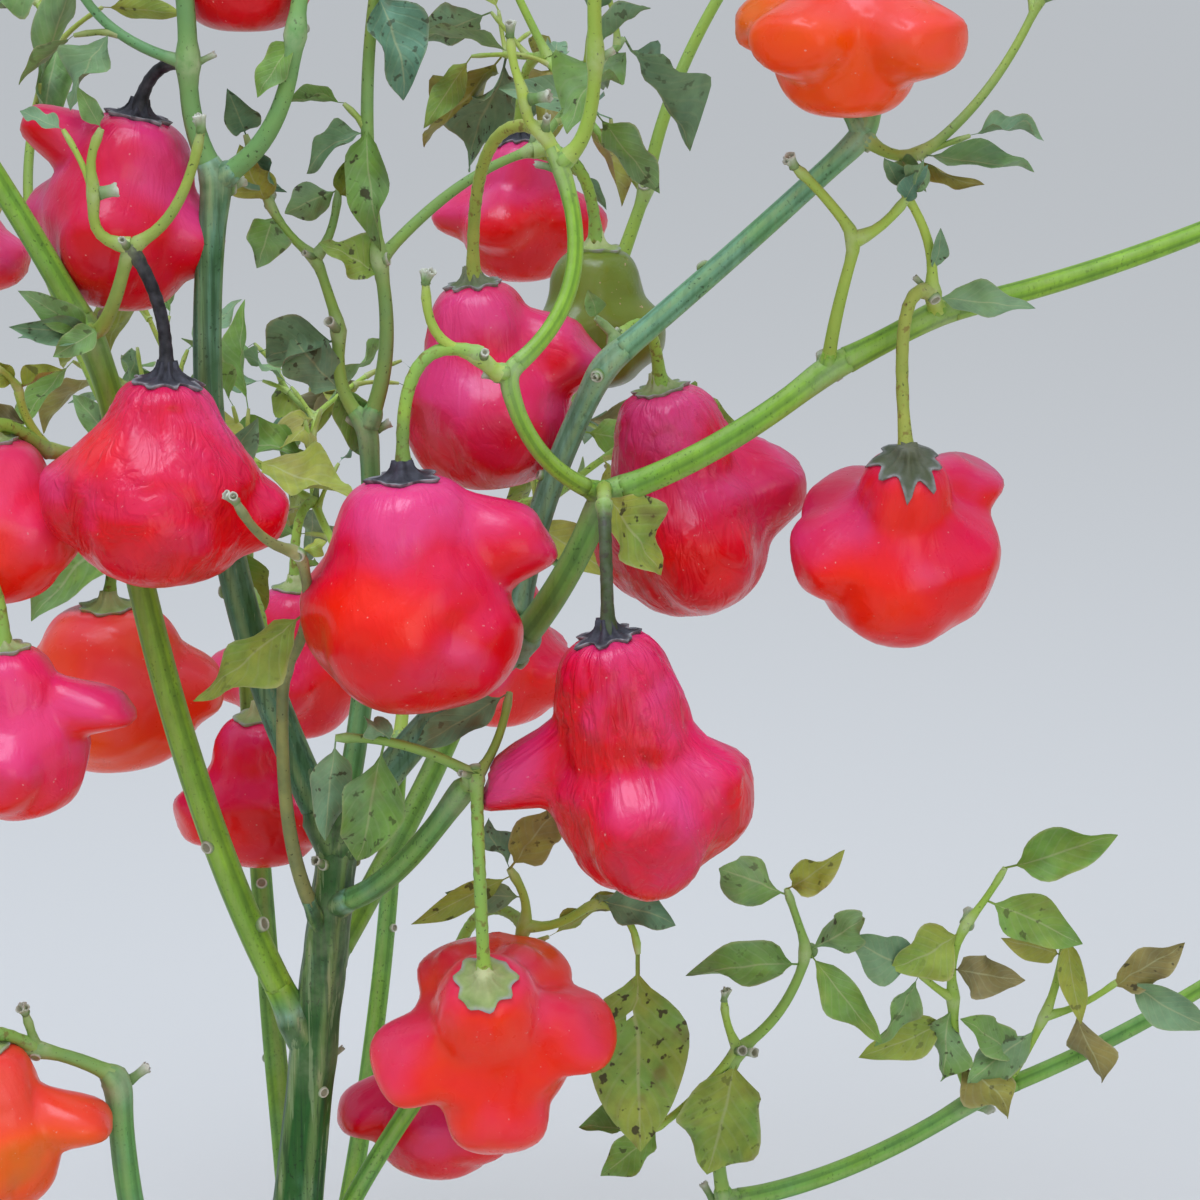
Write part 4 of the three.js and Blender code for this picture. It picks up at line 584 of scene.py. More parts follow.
def arm_on(parent_name, along, tip, bow, radius):
    """A short arm of a limb, which carries what grows from the limb there."""
    parent = limbs[parent_name]
    place = parent["curve"].at(along)
    heading = limb_curve(place, tip, bow).heading(0)
    arm = {"along": along, "place": place, "heading": heading, "radius": radius}
    parent["arms"].append(arm)
    return arm


def set_reaches(limb):
    """Each arm is long enough to clear its limb and the arms beside it."""
    for arm in limb["arms"]:
        arm["reach"] = arm["radius"] * ARM_LENGTH + ARM_END
        if arm["along"] < 1:
            angle = angle_between(limb["curve"].heading(arm["along"]), arm["heading"])
            clear = radius_of(limb, arm["along"]) + arm["radius"] * abs(math.cos(angle))
            arm["reach"] = max(arm["reach"], (clear + SIDE_ROOM) / math.sin(angle))
        for other in limb["arms"]:
            if other is arm or other["along"] != arm["along"]:
                continue
            angle = angle_between(other["heading"], arm["heading"])
            apart = (arm["radius"] + other["radius"] + CLEARANCE) / (2 * math.sin(angle / 2))
            arm["reach"] = max(arm["reach"], apart)


def start_at_arm(arm, tip, bow):
    full = limb_curve(arm["place"], tip, bow)
    return Curve(arm["place"] + arm["heading"] * (arm["reach"] + GAP), full.control, tip)


stem_line = Curve(vec([0, 0, 0]), vec([0, 0, STEM_PLUMB]), vec([STEM_LEAN, 0, FORK_HEIGHT]))
limbs = {"main_stem": make_limb(stem_line, STEM_RADIUS_LOW, STEM_RADIUS_TOP)}
bough_arms, stem_arms = {}, {}
for name, parent_name, along, tip, bow, foot_radius, tip_radius, _ in BOUGHS:
    arm = arm_on(parent_name, along, vec(tip), vec(bow), foot_radius)
    bough_arms[name] = arm
    curve = limb_curve(arm["place"], vec(tip), vec(bow))
    limbs[name] = make_limb(curve, foot_radius, tip_radius)
for row in SPRAYS:
    _, _, tip, bow, radius = row["twigs"][0]
    stem_arms[row["name"]] = arm_on(row["bough"], row["along"], vec(tip), vec(bow), radius)
for limb in limbs.values():
    set_reaches(limb)
for name, _, _, tip, bow, *_ in BOUGHS:
    limbs[name]["curve"] = start_at_arm(bough_arms[name], vec(tip), vec(bow))
for name, limb in limbs.items():
    room.take(limb_stretches(name, limb))
    for arm in limb["arms"]:
        end = arm["place"] + arm["heading"] * arm["reach"]
        room.take([(name, False, arm["place"], end, arm["radius"])])
print("limbs:", len(limbs), "arms:", sum(len(limb["arms"]) for limb in limbs.values()))


# %% Twigs, leaves and pods
def make_twig(curve, radius, parent, steps, grown):
    twig = {"curve": curve, "foot_radius": radius, "tip_radius": radius * TWIG_TAPER}
    return {**twig, "parent": parent, "steps": steps, "grown": grown}


def make_leaf(twig, along, root, reach, width, grown):
    leaf = {"twig": twig, "along": along, "root": root, "reach": reach}
    return {**leaf, "width": width, "grown": grown}


def make_pod(twig, calyx, bow, axis, form, lobes, grown):
    pod = dict(zip(("width", "height", "dome", "waist", "spread"), form))
    pod["stalk"] = limb_curve(twig["curve"].tip, calyx, bow)
    return {**pod, "twig": twig, "calyx": calyx, "axis": axis, "lobes": lobes, "grown": grown}


def leaf_root(twig, along):
    """The place of a leaf on the straight steps that its twig has in the solids."""
    length = size_of(twig["curve"].foot - twig["curve"].tip)
    place = min(along, 1 - LEAF_ROOT_BACK / length) * twig["steps"]
    step = min(math.floor(place), twig["steps"] - 1)
    low = twig["curve"].at(step / twig["steps"])
    high = twig["curve"].at((step + 1) / twig["steps"])
    return low + (high - low) * (place - step)


# %% The named twigs, pods and leaves of each spray
def plant_spray(row):
    name = row["name"]
    twigs_here, pods_here, leaves_here = {}, [], []
    for twig_name, parent_name, tip, bow, radius in row["twigs"]:
        parent = twigs_here.get(parent_name)
        if parent:
            curve = limb_curve(parent["curve"].tip, vec(tip), vec(bow))
        else:
            curve = start_at_arm(stem_arms[name], vec(tip), vec(bow))
        twig = make_twig(curve, radius, parent, 2, False)
        twigs_here[twig_name] = twig
        room.take(limb_stretches(name, twig))
    for twig_name, calyx, bow, lean, form, lobes in row["pods"]:
        axis = unit(vec(lean) - UP)
        pod = make_pod(twigs_here[twig_name], vec(calyx), vec(bow), axis, form, lobes, False)
        pods_here.append(pod)
        room.take(pod_stretches(name, pod) + stalk_stretches(name, pod))
    for twig_name, along, reach, width in row["leaves"]:
        twig = twigs_here[twig_name]
        leaf = make_leaf(twig, along, leaf_root(twig, along), vec(reach), width, False)
        leaves_here.append(leaf)
        room.take(leaf_stretches(name, leaf))
    grown = {"twigs": twigs_here, "pods": pods_here, "leaves": leaves_here}
    return {**row, **grown, "random": random_from(row["seed"])}


plans = [plant_spray(row) for row in SPRAYS]


# %% What grows by chance: leaves, pods and forking shoots
def add_leaf(plan, twig, along, share):
    turn = TURN * plan["random"]()
    droop = math.radians(between(LEAF_DROOP, plan["random"]()))
    length = between(LEAF_LENGTH, plan["random"]()) * share
    level = math.cos(droop) * length
    reach = vec([math.cos(turn) * level, math.sin(turn) * level, -math.sin(droop) * length])
    root = leaf_root(twig, along)
    leaf = make_leaf(twig, along, root, reach, length * LEAF_WIDTH, True)
    stretches = leaf_stretches(plan["name"], leaf)
    if root[2] + reach[2] >= GROUND_CLEAR and room.is_free(stretches):
        plan["leaves"].append(leaf)
        room.take(stretches)


def add_pod(plan, twig):
    draw = plan["random"]
    turn = TURN * draw()
    drop = between(STALK_LENGTH, draw())
    width = between(POD_WIDTH, draw())
    count = 3 if draw() < 0.5 else 4
    spin = (360 / count) * draw()
    lobes = []
    for i in range(count):
        place = between(LOBE_PLACE, draw())
        lobes.append([spin + (360 / count) * i, place, between(LOBE_LENGTH, draw()), LOBE_SIZE])
    outward = vec([math.cos(turn), math.sin(turn), 0]) * (drop * 0.5)
    calyx = twig["curve"].tip + outward - UP * (drop * 0.8)
    bow = outward * 0.25 + UP * (drop * 0.25)
    form = [width, width * POD_HEIGHT, POD_DOME, POD_WAIST, WAIST_SPREAD]
    pod = make_pod(twig, calyx, bow, -UP, form, lobes, True)
    stretches = pod_stretches(plan["name"], pod)
    if calyx[2] - pod["height"] >= GROUND_CLEAR and room.is_free(stretches):
        plan["pods"].append(pod)
        room.take(stretches + stalk_stretches(plan["name"], pod))


def grow_shoot(plan, parent, heading, length, radius, forks):
    """A twig that forks again and again, until its last arms end in a tuft of leaves."""
    draw = plan["random"]
    foot = parent["curve"].tip
    lift = UPWARD * length * draw()
    swing = between(TWIG_SWING, draw()) * length
    curve = limb_curve(foot, foot + heading * length + UP * lift, across(heading) * swing)
    twig = make_twig(curve, radius, parent, 1, True)
    stretches = limb_stretches(plan["name"], twig)
    if not room.is_free(stretches):
        return
    plan["twigs"][f"grown_{len(plan['twigs'])}"] = twig
    room.take(stretches)
    if draw() < SIDE_LEAF_CHANCE:
        add_leaf(plan, twig, 0.5, 0.9)
    if forks == 0:
        for i in range(TIP_LEAVES):
            add_leaf(plan, twig, 1 - 0.06 * i, 1)
        return
    if draw() < POD_CHANCE:
        add_pod(plan, twig)
    add_leaf(plan, twig, 0.97, 1.1)
    side = turned(across(heading), unit(heading), math.pi * draw())
    for sign in (1, -1):
        angle = math.radians(FORK_ANGLE * between(FORK_ANGLE_SHARE, draw())) * sign
        way = unit(heading * math.cos(angle) + side * math.sin(angle))
        longer = length * FORK_SHORTER * between(ARM_LENGTH_SHARE, draw())
        if sign > 0 or draw() >= BARREN_CHANCE:
            grow_shoot(plan, twig, way, longer, radius * TWIG_TAPER, forks - 1)


for plan in plans:
    for twig_name, heading, length, forks in plan["shoots"]:
        start = plan["twigs"][twig_name]
        grow_shoot(plan, start, unit(vec(heading)), length, start["tip_radius"], forks)
for kind in ("twigs", "pods", "leaves"):
    print(f"{kind}:", sum(len(plan[kind]) for plan in plans))

# %% [markdown]
# ## Step 3: one way to make a mesh, one way to make a material
# Every piece below is a list of places and faces, worked out in millimetres. Numbers that the
# material needs at each corner, such as how old the bark is there, ride along as attributes,
# so the pattern stays on the piece wherever it is looked at from.
#
# Most pieces are stacks of rings round a middle line, with a fan at each end.

# %% Meshes from lists of places and faces
collection = bpy.context.scene.collection


def add_object(name, data):
    thing = bpy.data.objects.new(name, data)
    collection.objects.link(thing)
    return thing


def add_marks(mesh, marks, kind="FLOAT"):
    slot = "vector" if kind == "FLOAT_VECTOR" else "value"
    number = np.int32 if kind == "INT" else np.float32
    for key, values in marks.items():
        mark = mesh.attributes.new(key, kind, "POINT")
        mark.data.foreach_set(slot, np.asarray(values, number).ravel())


def mesh_of(name, places, faces, marks=None, unit_mm=MM):
    mesh = bpy.data.meshes.new(name)
    mesh.from_pydata((np.asarray(places) * unit_mm).tolist(), [], faces)
    mesh.polygons.foreach_set("use_smooth", [True] * len(mesh.polygons))
    add_marks(mesh, marks or {})
    return mesh


def joined(name, parts):
    """Several (places, faces, marks) as one object."""
    places, faces, marks = [], [], {}
    start = 0
    for part_places, part_faces, part_marks in parts:
        places.append(part_places)
        faces.extend([tuple(i + start for i in face) for face in part_faces])
        for key, values in part_marks.items():
            marks.setdefault(key, []).append(values)
        start += len(part_places)
    marks = {key: np.concatenate(values) for key, values in marks.items()}
    return add_object(name, mesh_of(name, np.concatenate(places), faces, marks))


def ring_faces(count, sides):
    """Faces of count rings, with a fan to the middle of each end, the last two places."""
    first, last = count * sides, count * sides + 1
    faces = []
    for j in range(sides):
        k = (j + 1) % sides
        faces.append((first, k, j))
        faces.append((last, (count - 1) * sides + j, (count - 1) * sides + k))
        for i in range(count - 1):
            low, high = i * sides, (i + 1) * sides
            faces.append((low + j, low + k, high + k, high + j))
    return faces


def angles(sides):
    return np.arange(sides) / sides * TURN


# %% Trees of nodes, for materials and for geometry
def add_node(tree, kind, settings=None, **links):
    """A node, its named inputs set or linked; i3 means the input with that number."""
    made = tree.nodes.new(kind)
    for key, value in (settings or {}).items():
        setattr(made, key, value)
    for key, value in links.items():
        socket = made.inputs[int(key[1:]) if key[1:].isdigit() else key.replace("_", " ")]
        if isinstance(value, bpy.types.NodeSocket):
            tree.links.new(value, socket)
        else:
            socket.default_value = value
    return made


def linear(hex_colour):
    parts = [int(hex_colour[i : i + 2], 16) / 255 for i in (1, 3, 5)]
    return [c / 12.92 if c < 0.04045 else ((c + 0.055) / 1.055) ** 2.4 for c in parts] + [1]


class Paint:
    """A material whose colour and relief are built up node by node."""

    def __init__(self, name, **values):
        self.material = bpy.data.materials.new(name)
        self.material.use_nodes = True
        self.tree = self.material.node_tree
        self.shader = self.tree.nodes["Principled BSDF"]
        for socket, value in values.items():
            self.shader.inputs[socket.replace("_", " ")].default_value = value
        self.where = self.place()

    def node(self, kind, settings=None, **links):
        return add_node(self.tree, kind, settings, **links)

    def place(self, stretch=(1, 1, 1)):
        where = self.node("ShaderNodeTexCoord").outputs["Object"]
        return self.node("ShaderNodeMapping", i0=where, Scale=stretch).outputs[0]

    def marks(self, *names):
        """The numbers that ride along with the mesh."""
        kind = "ShaderNodeAttribute"
        return [self.node(kind, {"attribute_name": name}).outputs["Fac"] for name in names]

    def ramp(self, share, *stops):
        made = self.node("ShaderNodeValToRGB", i0=share)
        elements = made.color_ramp.elements
        while len(elements) < len(stops):
            elements.new(0.5)
        for element, (place, colour) in zip(elements, stops):
            element.position = place
            element.color = linear(colour) if isinstance(colour, str) else [colour] * 3 + [1]
        return made.outputs["Color"]

    def noise(self, per_metre, detail, where=None, rough=0.55, twist=0.0):
        sizes = {"Scale": per_metre, "Detail": detail, "Roughness": rough, "Distortion": twist}
        return self.node("ShaderNodeTexNoise", Vector=where or self.where, **sizes).outputs["Fac"]

    def cloud(self, per_metre, detail, *stops, where=None):
        return self.ramp(self.noise(per_metre, detail, where), *stops)

    def lay(self, share, colour, blend="MIX"):
        """Lays a share of a colour over the colour that is there."""
        settings = {"data_type": "RGBA", "blend_type": blend}
        colour = linear(colour) if isinstance(colour, str) else colour
        made = self.node("ShaderNodeMix", settings, i0=share, i6=self.colour, i7=colour)
        self.colour = made.outputs[2]

    def maths(self, operation, *values, clamp=False):
        settings = {"operation": operation, "use_clamp": clamp}
        links = {f"i{i}": value for i, value in enumerate(values)}
        return self.node("ShaderNodeMath", settings, **links).outputs[0]

    def times(self, first, *others):
        for other in others:
            first = self.maths("MULTIPLY", first, other)
        return first

    def finish(self, relief, mm_deep, strength):
        """Joins the colour and the relief to the shader."""
        links = {"Height": relief, "Strength": strength, "Distance": mm_deep * MM}
        bump = self.node("ShaderNodeBump", **links)
        self.tree.links.new(self.colour, self.shader.inputs["Base Color"])
        self.tree.links.new(bump.outputs["Normal"], self.shader.inputs["Normal"])
        return self.material


# %% [markdown]
# ## Step 4: the main stem and the boughs
# A pepper stem is green and a little woody at the foot. It isn't round: four or five soft ribs
# run along it, it swells at each fork, and the skin at a fork is pale. A curve with a round
# profile can't do the ribs, so the skin is drawn ring by ring round each limb's middle line,
# and each ring's radius is worked out from the ribs, the swelling and the root flare.

# %% Rings round a middle line
def line_of(curve, step):
    length = sum(size_of(curve.at((i + 1) / 20) - curve.at(i / 20)) for i in range(20))
    count = max(3, math.ceil(length / step))
    return np.array([curve.at(i / count) for i in range(count + 1)])


def eased(points, rounds):
    """The same points, with the corners between them rounded off."""
    for _ in range(rounds):
        points[1:-1] = (points[:-2] + 2 * points[1:-1] + points[2:]) / 4
    return points


def run_of(points):
    return np.concatenate([[0], np.cumsum(np.linalg.norm(np.diff(points, axis=0), axis=1))])


def line_frames(points, heading=None):
    """Right and front at each point of a line, with no twist between them."""
    ahead = np.roll(points, -1, 0) - np.roll(points, 1, 0)
    ahead[0], ahead[-1] = points[1] - points[0], points[-1] - points[-2]
    ahead /= np.linalg.norm(ahead, axis=1)[:, None]
    if heading is not None:
        ahead[0] = heading
    rights = [across(ahead[0])]
    for way in ahead[1:]:
        rights.append(unit(rights[-1] - way * float(rights[-1] @ way)))
    rights = np.array(rights)
    return rights, np.cross(rights, ahead)


def nearness(points, places, reach):
    """1 at any of the places, and 0 well beyond reach of them."""
    apart = [np.linalg.norm(points - place, axis=1) for place in places]
    return np.exp(-((np.min(apart, 0) / reach) ** 2))


def skin(points, radii, marks, heading=None):
    """A closed skin of rings; radii holds one number for each ring and side."""
    count, sides = radii.shape
    rights, fronts = line_frames(points, heading)
    cos, sin = np.cos(angles(sides))[:, None], np.sin(angles(sides))[:, None]
    rings = points[:, None] + (rights[:, None] * cos + fronts[:, None] * sin) * radii[:, :, None]
    places = np.concatenate([rings.reshape(-1, 3), points[:1], points[-1:]])
    full = {}
    for key, values in marks.items():
        column = np.asarray(values)[:, None] if np.ndim(values) == 1 else values
        grid = np.broadcast_to(column, (count, sides))
        ends = [float(grid[0].mean()), float(grid[-1].mean())]
        full[key] = np.concatenate([grid.reshape(-1), ends])
    return places, [(low, *rest[::-1]) for low, *rest in ring_faces(count, sides)], full


# %% The skin of one limb
RING_STEP = 1.7
STEM_SIDES, STEM_RIBS, STEM_RIB_DEPTH, STEM_WAVER, STEM_SWELL = 40, 5, 0.055, 0.008, 0.0765
BOUGH_SIDES, BOUGH_RIBS, BOUGH_RIB_DEPTH, BOUGH_WAVER, BOUGH_SWELL = 20, 4, 0.04, 0.02, 0.17
FINE_RIB_DEPTH = 0.018
JOINT_REACH = 7.0
ARM_OVERLAP = 0.6  # by which an arm runs into what it carries
ARM_SIDES, ARM_STEP = 16, 1.2
COLLAR = 0.32  # by which an arm is wider where it leaves its limb
FORK_EASING, EASING_ROUNDS = 6, 6  # rings below a fork that are rounded off with it
FLOOR_BAND, CUT_BAND = 1.2, 0.3  # heights near the cut that are pulled down onto it
limb_age = {"main_stem": 1.0, **{name: age for name, *_, age in BOUGHS}}


def age_after(arm, age):
    """The age of what grows from an arm, which is younger than the limb with the arm."""
    grown = [name for name, other in bough_arms.items() if other is arm]
    return limb_age[grown[0]] if grown else 0.75 * age


def run_on_arm(limb):
    """The arm that a limb runs on into at its fork."""
    return next((arm for arm in limb["arms"] if arm["along"] == 1), None)


def domed(points, radii):
    """The line and the radii of the main stem, with a dome over its fork."""
    dome = np.linspace(0.25, 1, 5) * np.pi / 2
    ahead = unit(points[-1] - points[-2])
    points = np.concatenate([points, points[-1] + np.outer(np.sin(dome) * radii[-1], ahead)])
    return points, np.concatenate([radii, radii[-1] * np.cos(dome) + 0.05])


def limb_skin(name, limb, chance):
    is_stem = name == "main_stem"
    arm = None if is_stem else run_on_arm(limb)
    points = line_of(limb["curve"], RING_STEP)
    if is_stem:  # closer rings in the flare
        low = np.array([limb["curve"].at(t) for t in np.linspace(0, 0.06, 14)[:-1]])
        points = np.concatenate([low, points[points[:, 2] > low[-1][2] + 1]])
    fork = len(points) - 1
    radii = radius_of(limb, np.linspace(0, 1, len(points)))
    if is_stem:
        points, radii = domed(points, radii)
    elif arm:
        length = arm["reach"] + GAP + ARM_OVERLAP
        steps = max(2, math.ceil(length / RING_STEP))
        reach = np.linspace(0, length, steps + 1)[1:]
        points = np.concatenate([points, arm["place"] + reach[:, None] * arm["heading"]])
        radii = np.concatenate([radii, np.linspace(limb["tip_radius"], arm["radius"], steps)])
        bend = points[fork - FORK_EASING :].copy()
        points[fork - FORK_EASING :] = eased(bend, EASING_ROUNDS)
    run = run_of(points)
    forks = [other["place"] for other in limb["arms"]]
    forks += [] if is_stem else [bough_arms[name]["place"]]
    joint = np.exp(-(((run - run[fork]) / JOINT_REACH) ** 2))
    joint = np.maximum(joint, nearness(points, forks, JOINT_REACH))
    around = angles(STEM_SIDES if is_stem else BOUGH_SIDES)
    ribs = STEM_RIBS if is_stem else BOUGH_RIBS
    turn = chance.uniform(0, 6.28) + run * chance.uniform(-0.004, 0.004)
    rib = np.cos(ribs * around[None] + turn[:, None])
    fine = np.cos(2 * ribs * around[None] + 2.3 + 0.02 * run[:, None])
    waver = np.sin(run * 0.11 + chance.uniform(0, 6))[:, None] * np.sin(around + 1)[None]
    shape = 1 + (STEM_RIB_DEPTH if is_stem else BOUGH_RIB_DEPTH) * rib
    shape = shape + FINE_RIB_DEPTH * fine + (STEM_WAVER if is_stem else BOUGH_WAVER) * waver
    swell = STEM_SWELL if is_stem else BOUGH_SWELL
    grid = radii[:, None] * shape * (1 + swell * joint[:, None])
    if is_stem:
        fade = np.exp(-points[:, 2] / FLARE_HEIGHT)[:, None]
        grid = grid + FLARE * fade * (1 + 0.35 * np.cos(FLARE_RIDGES * around)[None])
    age = np.full(len(points), limb_age[name])
    if arm:
        age[fork:] = np.linspace(age[0], age_after(arm, age[0]), len(age) - fork)
    heading = None if is_stem else bough_arms[name]["heading"]
    part = skin(points, grid, {"rib": rib, "joint": joint, "age": age}, heading)
    if is_stem:
        heights = part[0][:, 2]
        heights[heights < FLOOR_BAND] = np.minimum(heights[heights < FLOOR_BAND], 0)
        heights[heights < CUT_BAND] = 0
    return part


def arm_skin(limb, arm, age):
    """A side arm of a limb, wide where it leaves the limb, like a collar."""
    length = arm["reach"] + GAP + ARM_OVERLAP
    steps = max(4, math.ceil(length / ARM_STEP))
    run = np.linspace(0, length, steps + 1)
    points = arm["place"] + run[:, None] * arm["heading"]
    angle = angle_between(limb["curve"].heading(min(arm["along"], 0.98)), arm["heading"])
    inside = min(0.75 * length, radius_of(limb, arm["along"]) / max(0.3, math.sin(angle)))
    beyond = np.clip((run - inside) / (length - inside), 0, 1)
    collar = (1 - beyond) ** 2
    rib = np.broadcast_to(np.cos(4 * angles(ARM_SIDES)), (steps + 1, ARM_SIDES))
    grid = arm["radius"] * (0.99 + COLLAR * collar[:, None] + 0.03 * rib)
    ages = age + (age_after(arm, age) - age) * beyond**0.8
    return skin(points, grid, {"rib": rib, "joint": 0.9 * collar, "age": ages})


stem_chance = np.random.default_rng(11)
stem_parts, bough_parts = [], []
for name, limb in limbs.items():
    parts = stem_parts if name == "main_stem" else bough_parts
    parts.append(limb_skin(name, limb, stem_chance))
    for arm in limb["arms"]:
        if name == "main_stem" or arm is not run_on_arm(limb):
            parts.append(arm_skin(limb, arm, limb_age[name]))
main_stem = joined("main_stem_skin", stem_parts)
boughs = joined("bough_skins", bough_parts)
print("stem faces:", len(main_stem.data.polygons), "bough faces:", len(boughs.data.polygons))

# %% [markdown]
# ### The skin of the stem
# Common name: living pepper stem. The skin grew, nobody made it. It is smooth and faintly
# waxed, so it gives the eye a soft, wide gleam. Rows of small black specks run along it, corky
# pale stripes lie on the ribs of the oldest part, and each fork has a chalky pale skin. The
# specks are under a millimetre, so they are drawn about twice their size to show at all.

# %% Material of stems and boughs
YOUNG_TO_OLD = (
    (0, "#A2CC3E"),
    (0.25, "#84B83C"),
    (0.5, "#6FAC62"),
    (0.72, "#7DAF93"),
    (1, "#2A6426"),
)


def green_stem(name):
    paint = Paint(name, Roughness=0.5, IOR=1.42, Specular_IOR_Level=0.4)
    age, joint, rib = paint.marks("age", "joint", "rib")
    tint = paint.maths("ADD", age, paint.times(paint.noise(55, 3), 0.5))
    paint.colour = paint.ramp(paint.maths("SUBTRACT", tint, 0.22, clamp=True), *YOUNG_TO_OLD)
    paint.lay(1.0, paint.cloud(160, 4, (0.3, 0.78), (0.75, 1.12)), "MULTIPLY")
    # Painted light and shade of the ribs: the ribs are painted paler and the grooves between them
    # darker.
    paint.lay(paint.ramp(rib, (0.1, 0), (0.9, 0.34)), "#A3BF72")
    paint.lay(paint.ramp(paint.times(rib, -1), (0.35, 0), (0.9, 0.45)), "#2F5F22")
    lines = paint.noise(620, 3, paint.place((1, 1, 0.03)))
    aged = paint.ramp(age, (0.55, 0.1), (1, 0.75))
    paint.lay(paint.times(paint.ramp(lines, (0.38, 1), (0.5, 0)), aged), "#1D4420")
    paint.lay(paint.times(paint.ramp(lines, (0.6, 0), (0.64, 0.8)), aged), "#8FA878")
    streak = paint.cloud(700, 3, (0.58, 0), (0.66, 1), where=paint.place((1, 1, 0.05)))
    old = paint.ramp(age, (0.4, 0.12), (0.95, 0.5))
    cork = paint.times(paint.ramp(rib, (0.45, 0), (0.8, 1)), paint.times(streak, old))
    paint.lay(cork, "#A7A77C")
    specks = paint.cloud(1250, 1, (0.63, 0), (0.69, 1), where=paint.place((1, 1, 0.7)))
    patch = paint.cloud(60, 2, (0.4, 0.1), (0.62, 0.7))
    patch = paint.times(patch, paint.ramp(age, (0.1, 0.55), (0.8, 1)))
    paint.lay(paint.times(specks, patch), "#1E2B16")
    chalk = paint.times(joint, paint.cloud(240, 3, (0.25, 0.1), (0.7, 1)))
    chalk = paint.times(chalk, paint.ramp(age, (0.7, 0.55), (0.95, 0.25)))
    paint.lay(chalk, "#B4C69A")
    fibres = paint.noise(600, 3, paint.place((1, 1, 0.2)))
    return paint.finish(fibres, 0.3, 0.5)


main_stem.data.materials.append(green_stem("living pepper stem, old skin"))
boughs.data.materials.append(green_stem("living pepper stem, young skin"))

# %% [markdown]
# ## Step 5: twigs and fruit stalks
# These are round, so a curve with a round profile is the right tool, and a Geometry Nodes tree
# does it for all of them at once. Each line of points carries its own thickness. A twig runs on
# into its first fork, so that one tube follows both, and it swells a little at each fork.

# %% Trees that grow a mesh on points or lines
def new_tree(name, **inputs):
    """A tree with named inputs, its inputs as they come in, and the names of its sockets."""
    tree = bpy.data.node_groups.new(name, "GeometryNodeTree")
    tree.interface.new_socket("Geometry", in_out="INPUT", socket_type="NodeSocketGeometry")
    sockets = {}
    for label, kind in {**inputs, "Material": "Material"}.items():
        socket = tree.interface.new_socket(label, in_out="INPUT", socket_type="NodeSocket" + kind)
        sockets[label] = socket.identifier
    tree.interface.new_socket("Geometry", in_out="OUTPUT", socket_type="NodeSocketGeometry")
    return tree, tree.nodes.new("NodeGroupInput").outputs, sockets


def end_tree(tree, geometry, start):
    """Realize Instances and Set Material, as the last steps of every tree."""
    real = add_node(tree, "GeometryNodeRealizeInstances", i0=geometry)
    links = {"i0": real.outputs[0], "Material": start["Material"]}
    done = add_node(tree, "GeometryNodeSetMaterial", **links)
    add_node(tree, "NodeGroupOutput", i0=done.outputs[0])


def named(tree, kind, name):
    made = add_node(tree, "GeometryNodeInputNamedAttribute", {"data_type": kind}, Name=name)
    return next(out for out in made.outputs if out.enabled and out.name == "Attribute")


def grown_mesh(name, base, tree, sockets, **values):
    """The plain mesh that a tree makes from a base mesh."""
    thing = add_object(name, base)
    modifier = thing.modifiers.new("growth", "NODES")
    modifier.node_group = tree
    for label, value in values.items():
        modifier[sockets[label]] = value
    bpy.context.view_layer.update()
    seen = thing.evaluated_get(bpy.context.evaluated_depsgraph_get())
    mesh = bpy.data.meshes.new_from_object(seen)
    thing.modifiers.remove(modifier)
    thing.data = mesh
    mesh.name = name
    print(f"{name}: {len(mesh.polygons)} faces")
    return thing


# %% The tree that turns lines into tubes
tube_tree, start, tube_sockets = new_tree("tubes_on_lines", Sides="Int")
links = {"Resolution": start["Sides"], "Radius": 1.0}
profile = add_node(tube_tree, "GeometryNodeCurvePrimitiveCircle", **links)
lines = add_node(tube_tree, "GeometryNodeMeshToCurve", Mesh=start["Geometry"])
tubes = add_node(
    tube_tree,
    "GeometryNodeCurveToMesh",
    Curve=lines.outputs[0],
    Profile_Curve=profile.outputs[0],
    Scale=named(tube_tree, "FLOAT", "thick"),
    Fill_Caps=True,
)
soft = add_node(tube_tree, "GeometryNodeSetShadeSmooth", i0=tubes.outputs[0])
end_tree(tube_tree, soft.outputs[0], start)


def lines_mesh(name, chains):
    """Chains of (points in mm, marks) as one mesh of edges."""
    places, edges, marks = [], [], {}
    count = 0
    for points, chain_marks in chains:
        places.append(points)
        edges.extend((count + i, count + i + 1) for i in range(len(points) - 1))
        for key, values in chain_marks.items():
            marks.setdefault(key, []).append(np.broadcast_to(values, len(points)))
        count += len(points)
    mesh = bpy.data.meshes.new(name)
    mesh.from_pydata((np.concatenate(places) * MM).tolist(), edges, [])
    add_marks(mesh, {key: np.concatenate(values) for key, values in marks.items()})
    return mesh


# %% The lines of the twigs
TWIG_STEP = 3.0
TWIG_SIDES, STALK_SIDES = 8, 14
NODE_SWELL, NODE_REACH = 0.55, 3.2
TIP_NARROWING = 0.55
FOOT_OVERLAP = 0.8  # by which a twig starts inside the arm that carries it
TWIG_AGE_SHARE, TWIG_AGE_CHANCE = 0.75, (-0.1, 0.15)
GROWN_DRY, NAMED_DRY = 0.75, 0.2
look_chance = np.random.default_rng(2)


def chain_from(twig, children):
    """The twig, its first child, that one's first child, and so on."""
    chain = [twig]
    while children.get(id(chain[-1])):
        chain.append(children[id(chain[-1])][0])
    return chain


